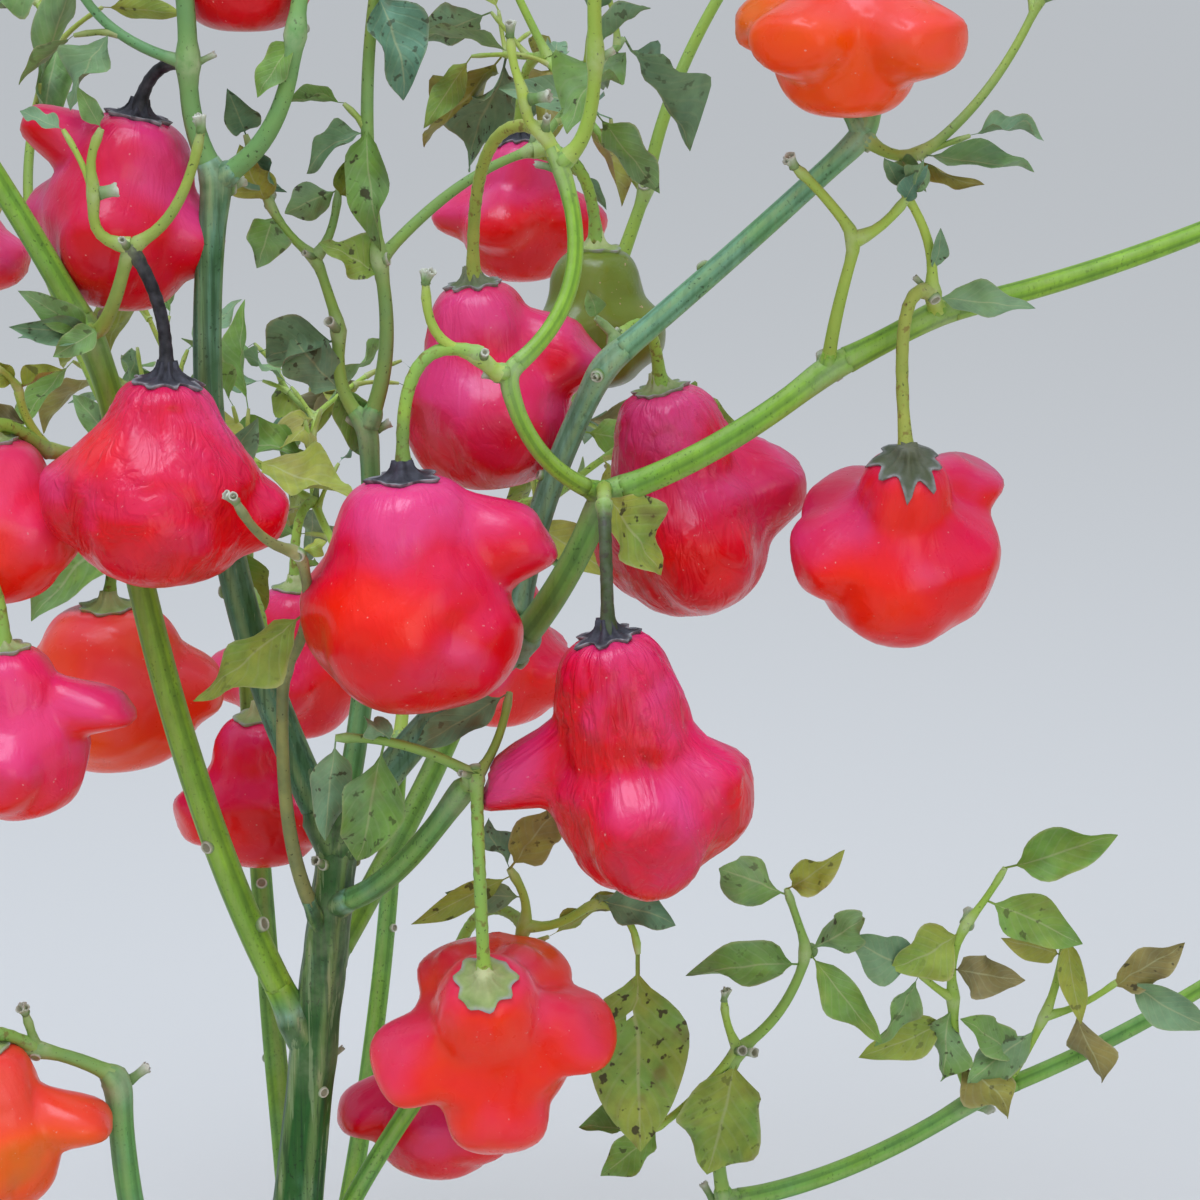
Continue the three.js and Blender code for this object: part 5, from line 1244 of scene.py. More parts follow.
def twig_chain(chain, arm, age, dry):
    """One line with its marks, from the arm or fork below through every twig of a chain."""
    points, radii, forks = [], [], []
    if arm:
        points.append(arm["place"] + arm["heading"] * (arm["reach"] - FOOT_OVERLAP))
        radii.append(arm["radius"])
        forks.append(arm["place"])
    if chain[0]["parent"]:
        forks.append(chain[0]["curve"].foot)
    for twig in chain:
        first = 0 if twig is chain[0] else 1
        line = line_of(twig["curve"], TWIG_STEP)
        points.extend(line[first:])
        radii.extend(radius_of(twig, np.linspace(0, 1, len(line)))[first:])
        forks.append(twig["curve"].tip)
    points = eased(np.array(points), 2)
    joint = nearness(points, forks, NODE_REACH)
    thick = np.array(radii) * (1 + NODE_SWELL * joint)
    thick[-1] *= TIP_NARROWING
    return points, {"thick": thick * MM, "joint": joint, "age": age, "dry": dry}


twig_chains, bare_tips = [], []
for plan in plans:
    children = {}
    for twig in plan["twigs"].values():
        if twig["parent"]:
            children.setdefault(id(twig["parent"]), []).append(twig)
    followed = {id(group[0]) for group in children.values()}
    busy = {id(grown["twig"]) for grown in plan["pods"] + plan["leaves"]}
    for twig in plan["twigs"].values():
        twig["forks"] = len(children.get(id(twig), []))
        if not twig["forks"] and id(twig) not in busy:
            bare_tips.append(twig)
        if id(twig) in followed:
            continue
        age = limb_age[plan["bough"]] * TWIG_AGE_SHARE + look_chance.uniform(*TWIG_AGE_CHANCE)
        dry = look_chance.uniform(0, GROWN_DRY if twig["grown"] else NAMED_DRY)
        dry = (dry**2 if twig["grown"] else dry) + plan["dry"]
        arm = None if twig["parent"] else stem_arms[plan["name"]]
        twig_chains.append(twig_chain(chain_from(twig, children), arm, age, dry))
print("twig lines:", len(twig_chains), "bare tips:", len(bare_tips))

# %% [markdown]
# ### Twiglets
# The solid model stops at twigs as long as a hand. The real plant goes on to shoots as thin as
# a match, each with a small leaf. They are added here wherever there is room for them, within
# the box that the spray's own twigs and leaves fill.

# %% The finer twigs, by the same rule
TWIGLET_LENGTH = (9, 20)
TWIGLET_RADIUS = 0.85
TWIGLET_BOW = -0.08
TWIGLET_DROOP = (-1.5, 0.2)
YOUNG_LEAF_LENGTH = (13, 27)
CROWN_LEAF_LENGTH = (20, 40)  # on the twigs that the rule grew
YOUNG_LEAF_WIDTH = (0.3, 0.42)
REACH_SPARE = 5
TWIGLET_PLACES = (0.45, 0.93)
CROWN_TWIGLET_PLACES = (0.25, 0.5, 0.5, 0.72, 0.93, 0.93)
TWIGLET_CHANCE, CROWN_TWIGLET_CHANCE = 0.375, 0.75
TWIGLET_AGE_SHARE, TWIGLET_DRY = 0.5, 0.5
fine_chance = np.random.default_rng(7)
young_leaves = []


def reach_of(plan):
    """The box that a spray's twigs and leaves already fill."""
    tips = [twig["curve"].tip for twig in plan["twigs"].values()]
    tips += [leaf["root"] + leaf["reach"] for leaf in plan["leaves"]]
    return np.min(tips, 0) - REACH_SPARE, np.max(tips, 0) + REACH_SPARE


def add_twiglet(plan, reach_box, twig, along, age):
    foot = twig["curve"].at(along)
    ahead = twig["curve"].heading(along)
    side = turned(across(ahead), ahead, fine_chance.uniform(0, TURN))
    way = unit(ahead * 0.7 + side * 0.8 + UP * 0.25)
    length = fine_chance.uniform(*TWIGLET_LENGTH)
    curve = limb_curve(foot, foot + way * length, side * TWIGLET_BOW * length)
    shoot = make_twig(curve, TWIGLET_RADIUS, twig, 1, True)
    droop = unit(way + UP * fine_chance.uniform(*TWIGLET_DROOP))
    span = CROWN_LEAF_LENGTH if twig["grown"] else YOUNG_LEAF_LENGTH
    reach = droop * fine_chance.uniform(*span)
    width = size_of(reach) * fine_chance.uniform(*YOUNG_LEAF_WIDTH)
    leaf = make_leaf(shoot, 1, curve.tip, reach, width, True)
    stretches = [(plan["name"], False, curve.at(0.3), curve.tip, TWIGLET_RADIUS)]
    stretches += leaf_stretches(plan["name"], leaf)
    end = curve.tip + reach
    if np.any(end < reach_box[0]) or np.any(end > reach_box[1]) or not room.is_free(stretches):
        return
    room.take(stretches)
    young_leaves.append(leaf)
    twig_chains.append(twig_chain([shoot], None, age, fine_chance.uniform(0, TWIGLET_DRY)))


for plan in plans:
    reach_box = reach_of(plan)
    age = limb_age[plan["bough"]] * TWIGLET_AGE_SHARE
    for twig in list(plan["twigs"].values()):
        for along in CROWN_TWIGLET_PLACES if twig["grown"] else TWIGLET_PLACES:
            share = CROWN_TWIGLET_CHANCE if twig["grown"] else TWIGLET_CHANCE
            if fine_chance.random() < share:
                add_twiglet(plan, reach_box, twig, along, age)
print("twiglets:", len(young_leaves))

# %% [markdown]
# ### The skin of twigs and stalks
# Common name: living pepper twig. It is the same grown, faintly waxed green skin as on the
# boughs, smoother and more yellow, so the eye gets a thin line of light along each twig. The
# thinnest shoots dry to straw brown. A fruit stalk blackens from the pod upwards as it dies.

# %% Twigs as tubes
def twig_skin(name, dark_mark):
    paint = Paint(name, Roughness=0.48, IOR=1.42, Specular_IOR_Level=0.4)
    age, joint, dry = paint.marks("age", "joint", "dry")
    tint = paint.maths("MULTIPLY_ADD", paint.noise(60, 3), 0.5, age)
    tint = paint.maths("SUBTRACT", tint, 0.22, clamp=True)
    greens = (0, "#B9D05A"), (0.3, "#9ABF4C"), (0.6, "#7AAA62"), (1, "#5C9470")
    paint.colour = paint.ramp(tint, *greens)
    straw = paint.cloud(130, 3, (0.3, "#77633A"), (0.7, "#B5A255"))
    paint.lay(dry, straw)
    if dark_mark:
        paint.lay(paint.cloud(520, 2, (0.56, 0), (0.66, 0.65)), "#7A5A2E")
        ash = paint.cloud(300, 3, (0.35, "#17171B"), (0.75, "#4A4A50"))
        paint.lay(*paint.marks(dark_mark), ash)
    paint.lay(paint.cloud(1000, 1, (0.68, 0), (0.74, 0.7)), "#2A2A1A")
    chalk = paint.times(joint, paint.cloud(260, 3, (0.3, 0), (0.7, 0.7)))
    paint.lay(chalk, "#C6D3A4")
    return paint.finish(paint.noise(700, 3), 0.25, 0.45)


def tubes_of(name, chains, sides, material):
    lines = lines_mesh(name + "_lines", chains)
    return grown_mesh(name, lines, tube_tree, tube_sockets, Sides=sides, Material=material)


twig_material = twig_skin("living pepper twig", None)
twigs = tubes_of("twigs", twig_chains, TWIG_SIDES, twig_material)

# %% The looks of the pods
RIPENESS = (0.97, 0.9, 0.85, 1, 0.62, 0.12)  # what the other pods take one of
BLACKENED_CHANCE = 0.45  # that the calyx of a ripe pod has died back


def chance_look():
    ripe = RIPENESS[int(look_chance.random() * 5.6)]
    black = ripe > 0.8 and look_chance.random() < BLACKENED_CHANCE
    dark = 1.0 if black else look_chance.uniform(0, 0.3)
    return [ripe, look_chance.uniform(0.1, 0.8), dark, dark * look_chance.random(), 0.2]


pods = []
for plan in plans:
    looks = iter(plan["looks"])
    for pod in plan["pods"]:
        pod["look"] = (None if pod["grown"] else next(looks, None)) or chance_look()
        pod["blushes"] = plan["blushes"]
        pods.append(pod)
print("pods:", len(pods), "named:", sum(not pod["grown"] for pod in pods))

# %% Fruit stalks
STALK_STEP = 1.5
STALK_FOOT_SWELL, STALK_FOOT_REACH = 0.35, 3.5
STALK_CALYX_SWELL, STALK_CALYX_REACH = 0.95, 5.5
STALK_WAVER, WAVER_PER_MM = 0.05, 1.9


def stalk_chain(pod):
    line = line_of(pod["stalk"], STALK_STEP)
    line = np.concatenate([line, [line[-1] + pod["axis"] * 0.8, line[-1] + pod["axis"] * 2.2]])
    run = run_of(line)
    foot = np.exp(-((run / STALK_FOOT_REACH) ** 2))
    near = np.exp(-(((run[-1] - run) / STALK_CALYX_REACH) ** 2))
    thick = STALK_RADIUS * (0.84 + STALK_FOOT_SWELL * foot + STALK_CALYX_SWELL * near)
    thick *= 1 + STALK_WAVER * np.sin(run * WAVER_PER_MM + pod["width"])
    _, _, _, dark, yellow = pod["look"]
    below = (run[-1] - run) / run[-1]
    blackened = dark * np.clip((dark * 1.15 - below) / 0.12, 0, 1) ** 0.7
    marks = {"thick": thick * MM, "joint": foot, "stalk_dark": blackened}
    return line, {**marks, "age": 0.1 + 0.25 * (1 - yellow), "dry": 0.55 * yellow}


stalk_chains = [stalk_chain(pod) for pod in pods]
stalk_material = twig_skin("living pepper fruit stalk", "stalk_dark")
stalks = tubes_of("fruit_stalks", stalk_chains, STALK_SIDES, stalk_material)

# %% [markdown]
# ## Step 6: the pods
# The fruit is a bell-shaped hot pepper: a domed top, then a wide brim of blunt lobes, then a
# rounded bottom. Its walls are thin and juicy, so the dome creases lengthwise as it ripens. A
# pod is a surface of rings as well: the body's radius depends on the height alone, and each
# lobe adds a blunt bump at its own angle and height.

# %% The surface of a pod
NAMED_POD_GRID, GROWN_POD_GRID = (52, 96), (36, 64)  # stretches down a pod, and sides
BLUSH_DOWN, BLUSH_STRENGTH = (0.3, 0.7), 0.7
BLUSH_TURN, BLUSH_RISE, BLUSH_YELLOWING = 0.75, 0.17, 0.16


def smooth_step(x, low, high):
    share = np.clip((x - low) / (high - low), 0, 1)
    return share * share * (3 - 2 * share)


def field(place, grain_mm):
    """A smooth field of chance, between about -1 and 1, at each place of a grid."""
    grids = np.broadcast_arrays(*place)
    spots = np.stack([grid.ravel() for grid in grids], 1) / grain_mm
    values = [chance_field.noise(Vector(spot)) for spot in spots.tolist()]
    return np.array(values).reshape(grids[0].shape) * 1.6


def ridges(place, grain_mm, power):
    """Narrow grooves where the field passes through zero."""
    return -np.clip(1 - 2.6 * np.abs(field(place, grain_mm)), 0, 1) ** power


def angle_from(around, degrees):
    return (math.radians(degrees) - around + np.pi) % TURN - np.pi


def rings_on_pod(pod, around, drop, radius):
    """Places round the pod's axis, drop below the calyx, one for each ring and side."""
    up = -pod["axis"]
    right = vec([1, 0, 0])
    right = unit(right - up * float(right @ up))
    front = np.cross(right, up)
    spokes = right * np.cos(around)[..., None] + front * np.sin(around)[..., None]
    return pod["calyx"] + pod["axis"] * drop[..., None] + spokes * radius[..., None]


def with_middles(rings, pod, above, below):
    """The rings as a list of places, ending with the middles of the top and the bottom."""
    middles = [pod["calyx"] + pod["axis"] * down for down in (above, below)]
    return np.concatenate([rings.reshape(-1, 3), middles])


def pod_mesh(pod, stretches, sides, chance):
    ripe, wrinkled = pod["look"][:2]
    ring = np.linspace(0, 1, stretches + 1)[1:-1, None]
    height = (1 - np.cos(np.pi * ring)) / 2
    around = angles(sides)[None]
    cos, sin = np.cos(around), np.sin(around)
    cap = np.sin(np.pi * ring) ** (DOME_BLUNT + (TIP_BLUNT - DOME_BLUNT) * height)
    turn_out = smooth_step(height, pod["waist"] - pod["spread"], pod["waist"] + pod["spread"])
    body = pod["width"] / 2 * cap * (pod["dome"] + (1 - pod["dome"]) * turn_out)
    lobed, sag, blush = np.zeros((3, stretches - 1, sides))
    for turn, down, length, size, *droop in pod["lobes"]:
        away = angle_from(around, turn)
        apart = (away / (LOBE_TURN * size)) ** 2 + ((height - down) / (LOBE_RISE * size)) ** 2
        outward = length * np.exp(-(apart**LOBE_BLUNT))
        lobed += outward
        sag += (droop[0] if droop else LOBE_DROOP) * outward
    for turn, down, strength in pod["blushes"]:
        apart = (angle_from(around, turn) / BLUSH_TURN) ** 2 + ((height - down) / BLUSH_RISE) ** 2
        blush += strength * np.exp(-(apart**2))
    shift = chance.uniform(0, 300)
    lumpy = [cos * 17 + shift, sin * 17, height * 44]
    meander = 5 * field(lumpy, 11)
    upright = [cos * 16 + shift + meander, sin * 16, height * 24 + meander]
    creases = ridges(upright, 4.6, 1.4) + 0.55 * field(upright, 2.6)
    brim = ridges(lumpy, 6.0, 1.5) + 0.35 * field(lumpy, 3.2)
    wrinkles = creases * (1 - 0.6 * turn_out) + 0.55 * brim * turn_out
    dents = 0.75 * field(lumpy, 13) + 0.3 * field(lumpy, 6.5)
    fade = np.sin(np.pi * ring) ** 0.7
    radius = body + lobed + fade * (dents + wrinkles * (0.1 + 0.85 * wrinkled))
    rings = rings_on_pod(pod, around, pod["height"] * height + sag, radius)
    places = with_middles(rings, pod, 0, pod["height"])
    blush = np.concatenate([np.clip(blush, 0, 1).reshape(-1), [0, 0]])
    full = np.ones(len(places))
    riper = ripe - BLUSH_YELLOWING * blush * (ripe > 0.5)
    marks = {"ripe": full * riper, "wrinkled": full * wrinkled, "blush": blush}
    grain = np.broadcast_arrays(cos * 15 + shift, sin * 15, height * 22)
    for key, values, ends in zip("xyz", grain, ([shift, shift], [0, 0], [0, 22])):
        marks["grain_" + key] = np.concatenate([values.reshape(-1), ends]) * MM
    return places, ring_faces(stretches - 1, sides), marks


pod_chance = np.random.default_rng(5)
for pod in pods:
    turn, down = float(pod_chance.uniform(0, 360)), float(pod_chance.uniform(*BLUSH_DOWN))
    pod["blushes"] = pod["blushes"] or [[turn, down, BLUSH_STRENGTH]]
named_pods = [pod_mesh(pod, *NAMED_POD_GRID, pod_chance) for pod in pods if not pod["grown"]]
grown_pods = [pod_mesh(pod, *GROWN_POD_GRID, pod_chance) for pod in pods if pod["grown"]]
front_pods = joined("pods", named_pods)
outer_pods = joined("outer_pods", grown_pods)
print("pod faces:", len(front_pods.data.polygons), len(outer_pods.data.polygons))

# %% [markdown]
# ### The skin of a pod
# Common name: ripe pepper skin. It grew, and the plant gave it a thin clear wax over coloured
# flesh. The wax gives the eye a clear highlight. The flesh is a deep red, and orange where a pod
# is still colouring. Where the skin faces up, and in soft patches, a magenta-pink reflection of
# the sky is painted into its colour.

# %% Material of the pods
RIPENING = (
    (0, "#6E8430"),
    (0.3, "#8E8A2C"),
    (0.55, "#FF5A08"),
    (0.75, "#FF2A02"),
    (0.88, "#F40E0A"),
    (1, "#E20216"),
)


def pepper_skin():
    paint = Paint(
        "waxy pepper skin",
        IOR=1.45,
        Specular_IOR_Level=0.3,
        Coat_Weight=0.24,
        Coat_Roughness=0.16,
        Subsurface_Weight=0.06,
        Subsurface_Scale=0.004,
    )
    ripe, wrinkled, blush, *grain = paint.marks(
        "ripe", "wrinkled", "blush", "grain_x", "grain_y", "grain_z"
    )
    grain = paint.node("ShaderNodeCombineXYZ", **dict(zip("XYZ", grain))).outputs[0]
    cloud = paint.noise(75, 3)
    tint = paint.maths("MULTIPLY_ADD", cloud, 0.16, ripe)
    paint.colour = paint.ramp(paint.maths("SUBTRACT", tint, 0.09, clamp=True), *RIPENING)
    shade = paint.ramp(paint.noise(130, 4, grain, 0.6, 1.0), (0.3, 0.8), (0.7, 1.08))
    paint.lay(wrinkled, shade, "MULTIPLY")
    paint.lay(paint.cloud(900, 1, (0.75, 0), (0.79, 0.55)), "#F0B8A8")
    # Painted reflection of the sky: ripe skin is painted magenta-pink where it faces up.
    facing = paint.node("ShaderNodeNewGeometry").outputs["Normal"]
    upward = paint.node("ShaderNodeSeparateXYZ", i0=facing).outputs["Z"]
    upward = paint.maths("ADD", upward, paint.times(cloud, 0.3))
    # Where a blush lies, the painted sky reflection and the painted sheen are left off.
    unshaded = paint.maths("SUBTRACT", 1.0, blush)
    painted_sky_reflection = paint.ramp(upward, (0.2, 0), (0.85, 0.54))
    painted_sky_reflection = paint.times(painted_sky_reflection, paint.ramp(ripe, (0.5, 0), (0.7, 0.5), (0.95, 1)), unshaded)
    paint.lay(painted_sky_reflection, "#DC2470")
    # Painted sheen: soft magenta-pink patches of painted reflection, on the parts of ripe pods that
    # do not face down.
    above = paint.ramp(paint.maths("ADD", upward, 0.45), (0, 0), (0.75, 1))
    sheen = paint.times(paint.cloud(28, 2, (0.44, 0), (0.6, 0.55)), above)
    sheen = paint.times(sheen, paint.ramp(ripe, (0.5, 0), (0.7, 0.35), (0.95, 1)), unshaded)
    paint.lay(sheen, "#E85098")
    creases = paint.maths("SUBTRACT", paint.noise(230, 3, grain, 0.5, 1.2), 0.5)
    creases = paint.times(paint.maths("ABSOLUTE", creases), 6)
    creases = paint.times(paint.maths("MINIMUM", creases, 1), wrinkled)
    pits = paint.times(paint.noise(330, 3), 0.35)
    dull = paint.cloud(120, 3, (0.3, 0.24), (0.75, 0.42))
    paint.tree.links.new(dull, paint.shader.inputs["Roughness"])
    return paint.finish(paint.maths("ADD", creases, pits), 0.8, 0.5)


pod_material = pepper_skin()
front_pods.data.materials.append(pod_material)
outer_pods.data.materials.append(pod_material)

# %% [markdown]
# ## Step 7: the calyx of each pod
# The calyx is the small toothed collar under the stalk. It lies on the dome, so its height
# follows the dome's, and its rim is scalloped by between five and nine teeth.
#
# Common name: dried calyx. It grew green and fleshy. On a ripe pod it has died back to grey or
# black, with a pale curled edge. It is dry and rough, so it gives the eye no highlight.

# %% Calyx collars
CALYX_SIDES = 54
CALYX_RADIUS = (9.0, 10.8)
CALYX_TEETH = (5, 9)
USUAL_POD_WIDTH = 42
# Each ring of the collar from the stalk to the rim and under it: its share of the radius,
# how far it stands off the dome in mm, and how pale its edge is.
CALYX_SHARES = np.array([0.28, 0.33, 0.42, 0.54, 0.68, 0.82, 0.92, 1.0, 1.0, 0.9, 0.7])
CALYX_LIFTS = np.array([4.8, 3.1, 1.95, 1.15, 0.7, 0.6, 0.8, 1.05, 0.8, -0.5, -1.2])
CALYX_EDGES = np.array([0, 0, 0, 0, 0, 0.1, 0.6, 1, 1, 0.3, 0])


def calyx_mesh(pod, chance):
    dark = pod["look"][2]
    around = angles(CALYX_SIDES)
    teeth = int(chance.integers(*CALYX_TEETH, endpoint=True))
    turn = chance.uniform(0, 6.3)
    wave = 0.5 + 0.5 * np.cos(teeth * around + turn + 0.5 * np.sin(2 * around + turn))
    rim = chance.uniform(*CALYX_RADIUS) * (pod["width"] / USUAL_POD_WIDTH) ** 0.5
    rim *= 0.78 + 0.22 * dark
    torn = 1 + 0.07 * np.sin(3 * around + turn * 2) + 0.05 * np.sin(7 * around + turn * 3)
    tooth = np.floor((teeth * around + turn) / TURN).astype(int) % teeth
    deep = 0.14 + 0.22 * dark
    rim = rim * torn * (1 - deep + (deep * wave**1.3) * chance.uniform(0.5, 1, teeth)[tooth])
    radius = CALYX_SHARES[:, None] * rim
    down = pod["height"] * (radius / (pod["width"] / 2 * pod["dome"])) ** 4 / 4
    fold = 0.22 * np.cos(teeth * around + turn) * np.clip(CALYX_SHARES * 1.4, 0, 1)[:, None]
    rings = rings_on_pod(pod, around[None], down - CALYX_LIFTS[:, None] - fold, radius)
    places = with_middles(rings, pod, -4.9, 1.6)
    edge = np.concatenate([np.repeat(CALYX_EDGES, CALYX_SIDES), [0, 0]])
    near = np.concatenate([np.repeat(1 - CALYX_SHARES, CALYX_SIDES), [1, 0]])
    marks = {"edge": edge, "dark": np.full(len(places), dark), "near": near}
    return places, ring_faces(len(CALYX_SHARES), CALYX_SIDES), marks


def calyx_skin():
    paint = Paint("dried calyx", Roughness=0.62, IOR=1.4)
    dark, edge, near = paint.marks("dark", "edge", "near")
    paint.colour = paint.cloud(180, 3, (0.3, "#7F9A4C"), (0.7, "#A9BF72"))
    paint.lay(paint.ramp(near, (0.2, 0), (0.9, 0.8)), "#D3D9A2")
    ash = paint.cloud(260, 4, (0.3, "#18181D"), (0.75, "#4C4C56"))
    paint.lay(dark, ash)
    rim = paint.times(edge, paint.cloud(330, 2, (0.35, 0.15), (0.6, 0.9)))
    paint.lay(rim, "#A8A9AC")
    return paint.finish(paint.noise(650, 4), 0.4, 0.6)


calyx_chance = np.random.default_rng(8)
calyxes = joined("calyxes", [calyx_mesh(pod, calyx_chance) for pod in pods])
calyxes.data.materials.append(calyx_skin())
print("calyx faces:", len(calyxes.data.polygons))

# %% [markdown]
# ## Step 8: leaves
# A dozen leaf forms, from a fresh one to a withered one, are drawn once. A Geometry Nodes tree
# then puts one form on each leaf's place, turned and stretched to reach from root to tip. Each
# leaf could be a mesh of its own, but forms are quicker and look as varied.

# %% A dozen leaf forms, and one that is eaten
LEAF_ROWS, LEAF_COLUMNS = 18, 6
STALK_SHARE = 0.15
FORM_KINDS = [
    # name, how far the blade folds, droops, waves, twists and shrivels
    ("fresh", 0.3, 0.2, 0.1, 0.15, 0.0),
    ("fresh_drooping", 0.4, 0.45, 0.14, -0.35, 0.0),
    ("fresh_wavy", 0.25, -0.15, 0.26, 0.45, 0.0),
    ("folded", 0.85, 0.3, 0.16, 0.35, 0.05),
    ("folded_twisted", 0.75, -0.3, 0.22, 1.0, 0.1),
    ("curled", 0.6, 0.65, 0.3, -0.8, 0.25),
    ("curled_back", -0.6, -0.4, 0.28, 0.8, 0.2),
    ("wavy", 0.2, 0.4, 0.4, -0.6, 0.1),
    ("shrivelled", 0.9, 0.5, 0.35, 1.3, 0.6),
    ("shrivelled_twisted", -0.6, 0.3, 0.4, -1.6, 0.55),
    ("lobed", 0.2, 0.1, 0.2, 0.2, 0.3),
    ("narrow", 0.3, 0.3, 0.1, 0.4, 0.35),
    ("eaten", 0.2, 0.2, 0.14, 0.2, 0.0),
]
HOLE = (5, 3)  # row and column of the face that is missing from the eaten leaf
HOLE_SIZE, HOLE_TURN = 0.55, 0.7  # of that face, and how far the hole is turned
leaf_chance = np.random.default_rng(4)


def leaf_place(row, blade, wide, c, kind, phase):
    """Where the leaf's corner is, c from one edge (-1) to the other (1)."""
    fold, droop, wave, twist, shrivel = kind
    margin = 1 + (0.1 + 0.25 * shrivel) * wave * 3 * math.sin(9 * blade + phase[0] + 2 * (c > 0))
    x = c * wide * margin * (1 - 0.3 * abs(fold) * abs(c))
    height = abs(c) ** 1.3 * wide * fold * 0.9
    height += wave * wide * c * c * math.sin(11 * blade + phase[1] + (2.2 if c > 0 else 0))
    if blade > 0:
        height += 0.02 * math.sin(17 * blade + phase[2]) * (1 - abs(c))
        cos, sin = math.cos(twist * (blade - 0.3)), math.sin(twist * (blade - 0.3))
        x, height = x * cos - height * sin, x * sin + height * cos
        height += 0.012 * math.sin(26 * blade + 5 * abs(c)) * (1 - blade)
    bow = math.sin(math.pi * row)
    curl = (abs(twist) + shrivel) * 0.22 * max(0.0, blade - 0.5) ** 2
    x += shrivel * 0.12 * math.sin(4 * row + phase[3]) * bow
    return [x, row - curl, height + droop * 0.175 * bow - 2 * curl]


def leaf_form(name, *kind):
    """One leaf from (0, 0, 0) to (0, 1, 0), as wide as 1 between its edges."""
    phase = leaf_chance.uniform(0, 6.3, 4)
    rows = np.linspace(0, 1, LEAF_ROWS + 1)
    columns = np.linspace(-1, 1, LEAF_COLUMNS + 1)
    blades = np.clip((rows - STALK_SHARE) / (1 - STALK_SHARE), 0, 1)
    wide = (blades**0.85 * (1 - blades) ** 1.5) ** 0.7
    wide *= (1 - 0.35 * kind[-1]) * 0.5 / wide.max()
    wide = np.maximum(wide, np.where(rows < STALK_SHARE + 0.02, 0.022, 0.006))
    grid = [(*row, c) for row in zip(rows, blades, wide) for c in columns]
    places = [leaf_place(*corner, kind, phase) for corner in grid]
    count = LEAF_COLUMNS + 1
    faces = {}
    for i in range(LEAF_ROWS):
        for j in range(LEAF_COLUMNS):
            a = i * count + j
            faces[i, j] = (a, a + 1, a + 1 + count, a + count)
    if name == "eaten":
        ring = faces.pop(HOLE)
        middle = np.mean([places[i] for i in ring], 0)
        cos, sin = math.cos(HOLE_TURN), math.sin(HOLE_TURN)
        for i in ring:
            x, y, z = (np.array(places[i]) - middle) * HOLE_SIZE
            places[i] = list(middle + [x * cos - y * sin * 0.5, x * sin * 0.5 + y * cos, z])
    marks = {"aside": [(c + 1) / 2 for *_, c in grid], "blade": np.repeat(blades, count)}
    return mesh_of("leaf_form_" + name, places, list(faces.values()), marks, unit_mm=1)


def form_collection(kind, meshes):
    forms = bpy.data.collections.new(kind + "_forms")
    for i, mesh in enumerate(meshes):
        name = mesh.name.replace("form_", "")
        number = str(i).zfill(len(str(len(meshes) - 1)))
        forms.objects.link(bpy.data.objects.new(f"{number}_{name}", mesh))
    return forms


leaf_forms = form_collection("leaf", [leaf_form(*kind) for kind in FORM_KINDS])

# %% The tree that puts forms on points
form_tree, start, form_sockets = new_tree("forms_on_points", Forms="Collection")
links = {"Collection": start["Forms"], "Separate_Children": True, "Reset_Children": True}
forms = add_node(form_tree, "GeometryNodeCollectionInfo", **links)
turns = named(form_tree, "FLOAT_VECTOR", "turn")
turns = add_node(form_tree, "FunctionNodeEulerToRotation", i0=turns)
placed = add_node(
    form_tree,
    "GeometryNodeInstanceOnPoints",
    Points=start["Geometry"],
    Instance=forms.outputs[0],
    Pick_Instance=True,
    Instance_Index=named(form_tree, "INT", "form"),
    Rotation=turns.outputs[0],
    Scale=named(form_tree, "FLOAT_VECTOR", "stretch"),
)
end_tree(form_tree, placed.outputs[0], start)


def form_row(place, form, ahead, upright, stretch, marks):
    """A form at a place, its Y along ahead and its Z as near to upright as it can be."""
    y = unit(ahead)
    x = np.cross(y, upright)
    x = unit(x) if size_of(x) > 0.01 else across(y)
    turn = Matrix(np.stack([x, y, np.cross(x, y)], 1).tolist()).to_euler()
    return {"place": place, "form": form, "turn": list(turn), "stretch": stretch, "marks": marks}


def forms_on(name, rows, forms, material):
    """One form on each row's place; stretches are in mm."""
    points = bpy.data.meshes.new(name + "_points")
    points.from_pydata([tuple(row["place"] * MM) for row in rows], [], [])
    add_marks(points, {"turn": [row["turn"] for row in rows]}, "FLOAT_VECTOR")
    stretches = np.array([row["stretch"] for row in rows], np.float32) * MM
    add_marks(points, {"stretch": stretches}, "FLOAT_VECTOR")
    add_marks(points, {"form": [row["form"] for row in rows]}, "INT")
    keys = rows[0]["marks"]
    add_marks(points, {key: [row["marks"][key] for row in rows] for key in keys})
    return grown_mesh(name, points, form_tree, form_sockets, Forms=forms, Material=material)


# %% Which form, tint and wear each leaf gets
YOUNG_FORMS = [0, 1, 2, 3, 5, 7, 11]
YOUNG_TINT, USUAL_TINT = 0.35, (0.15, 0.6)
# The form, tint and spotting of two leaves, by their spray and their place in its list.
LEAF_LOOKS = {("low_middle_spray", 4): [12, 0.5, 1.0], ("front_twig_spray", 0): [2, 0.55, 0.3]}


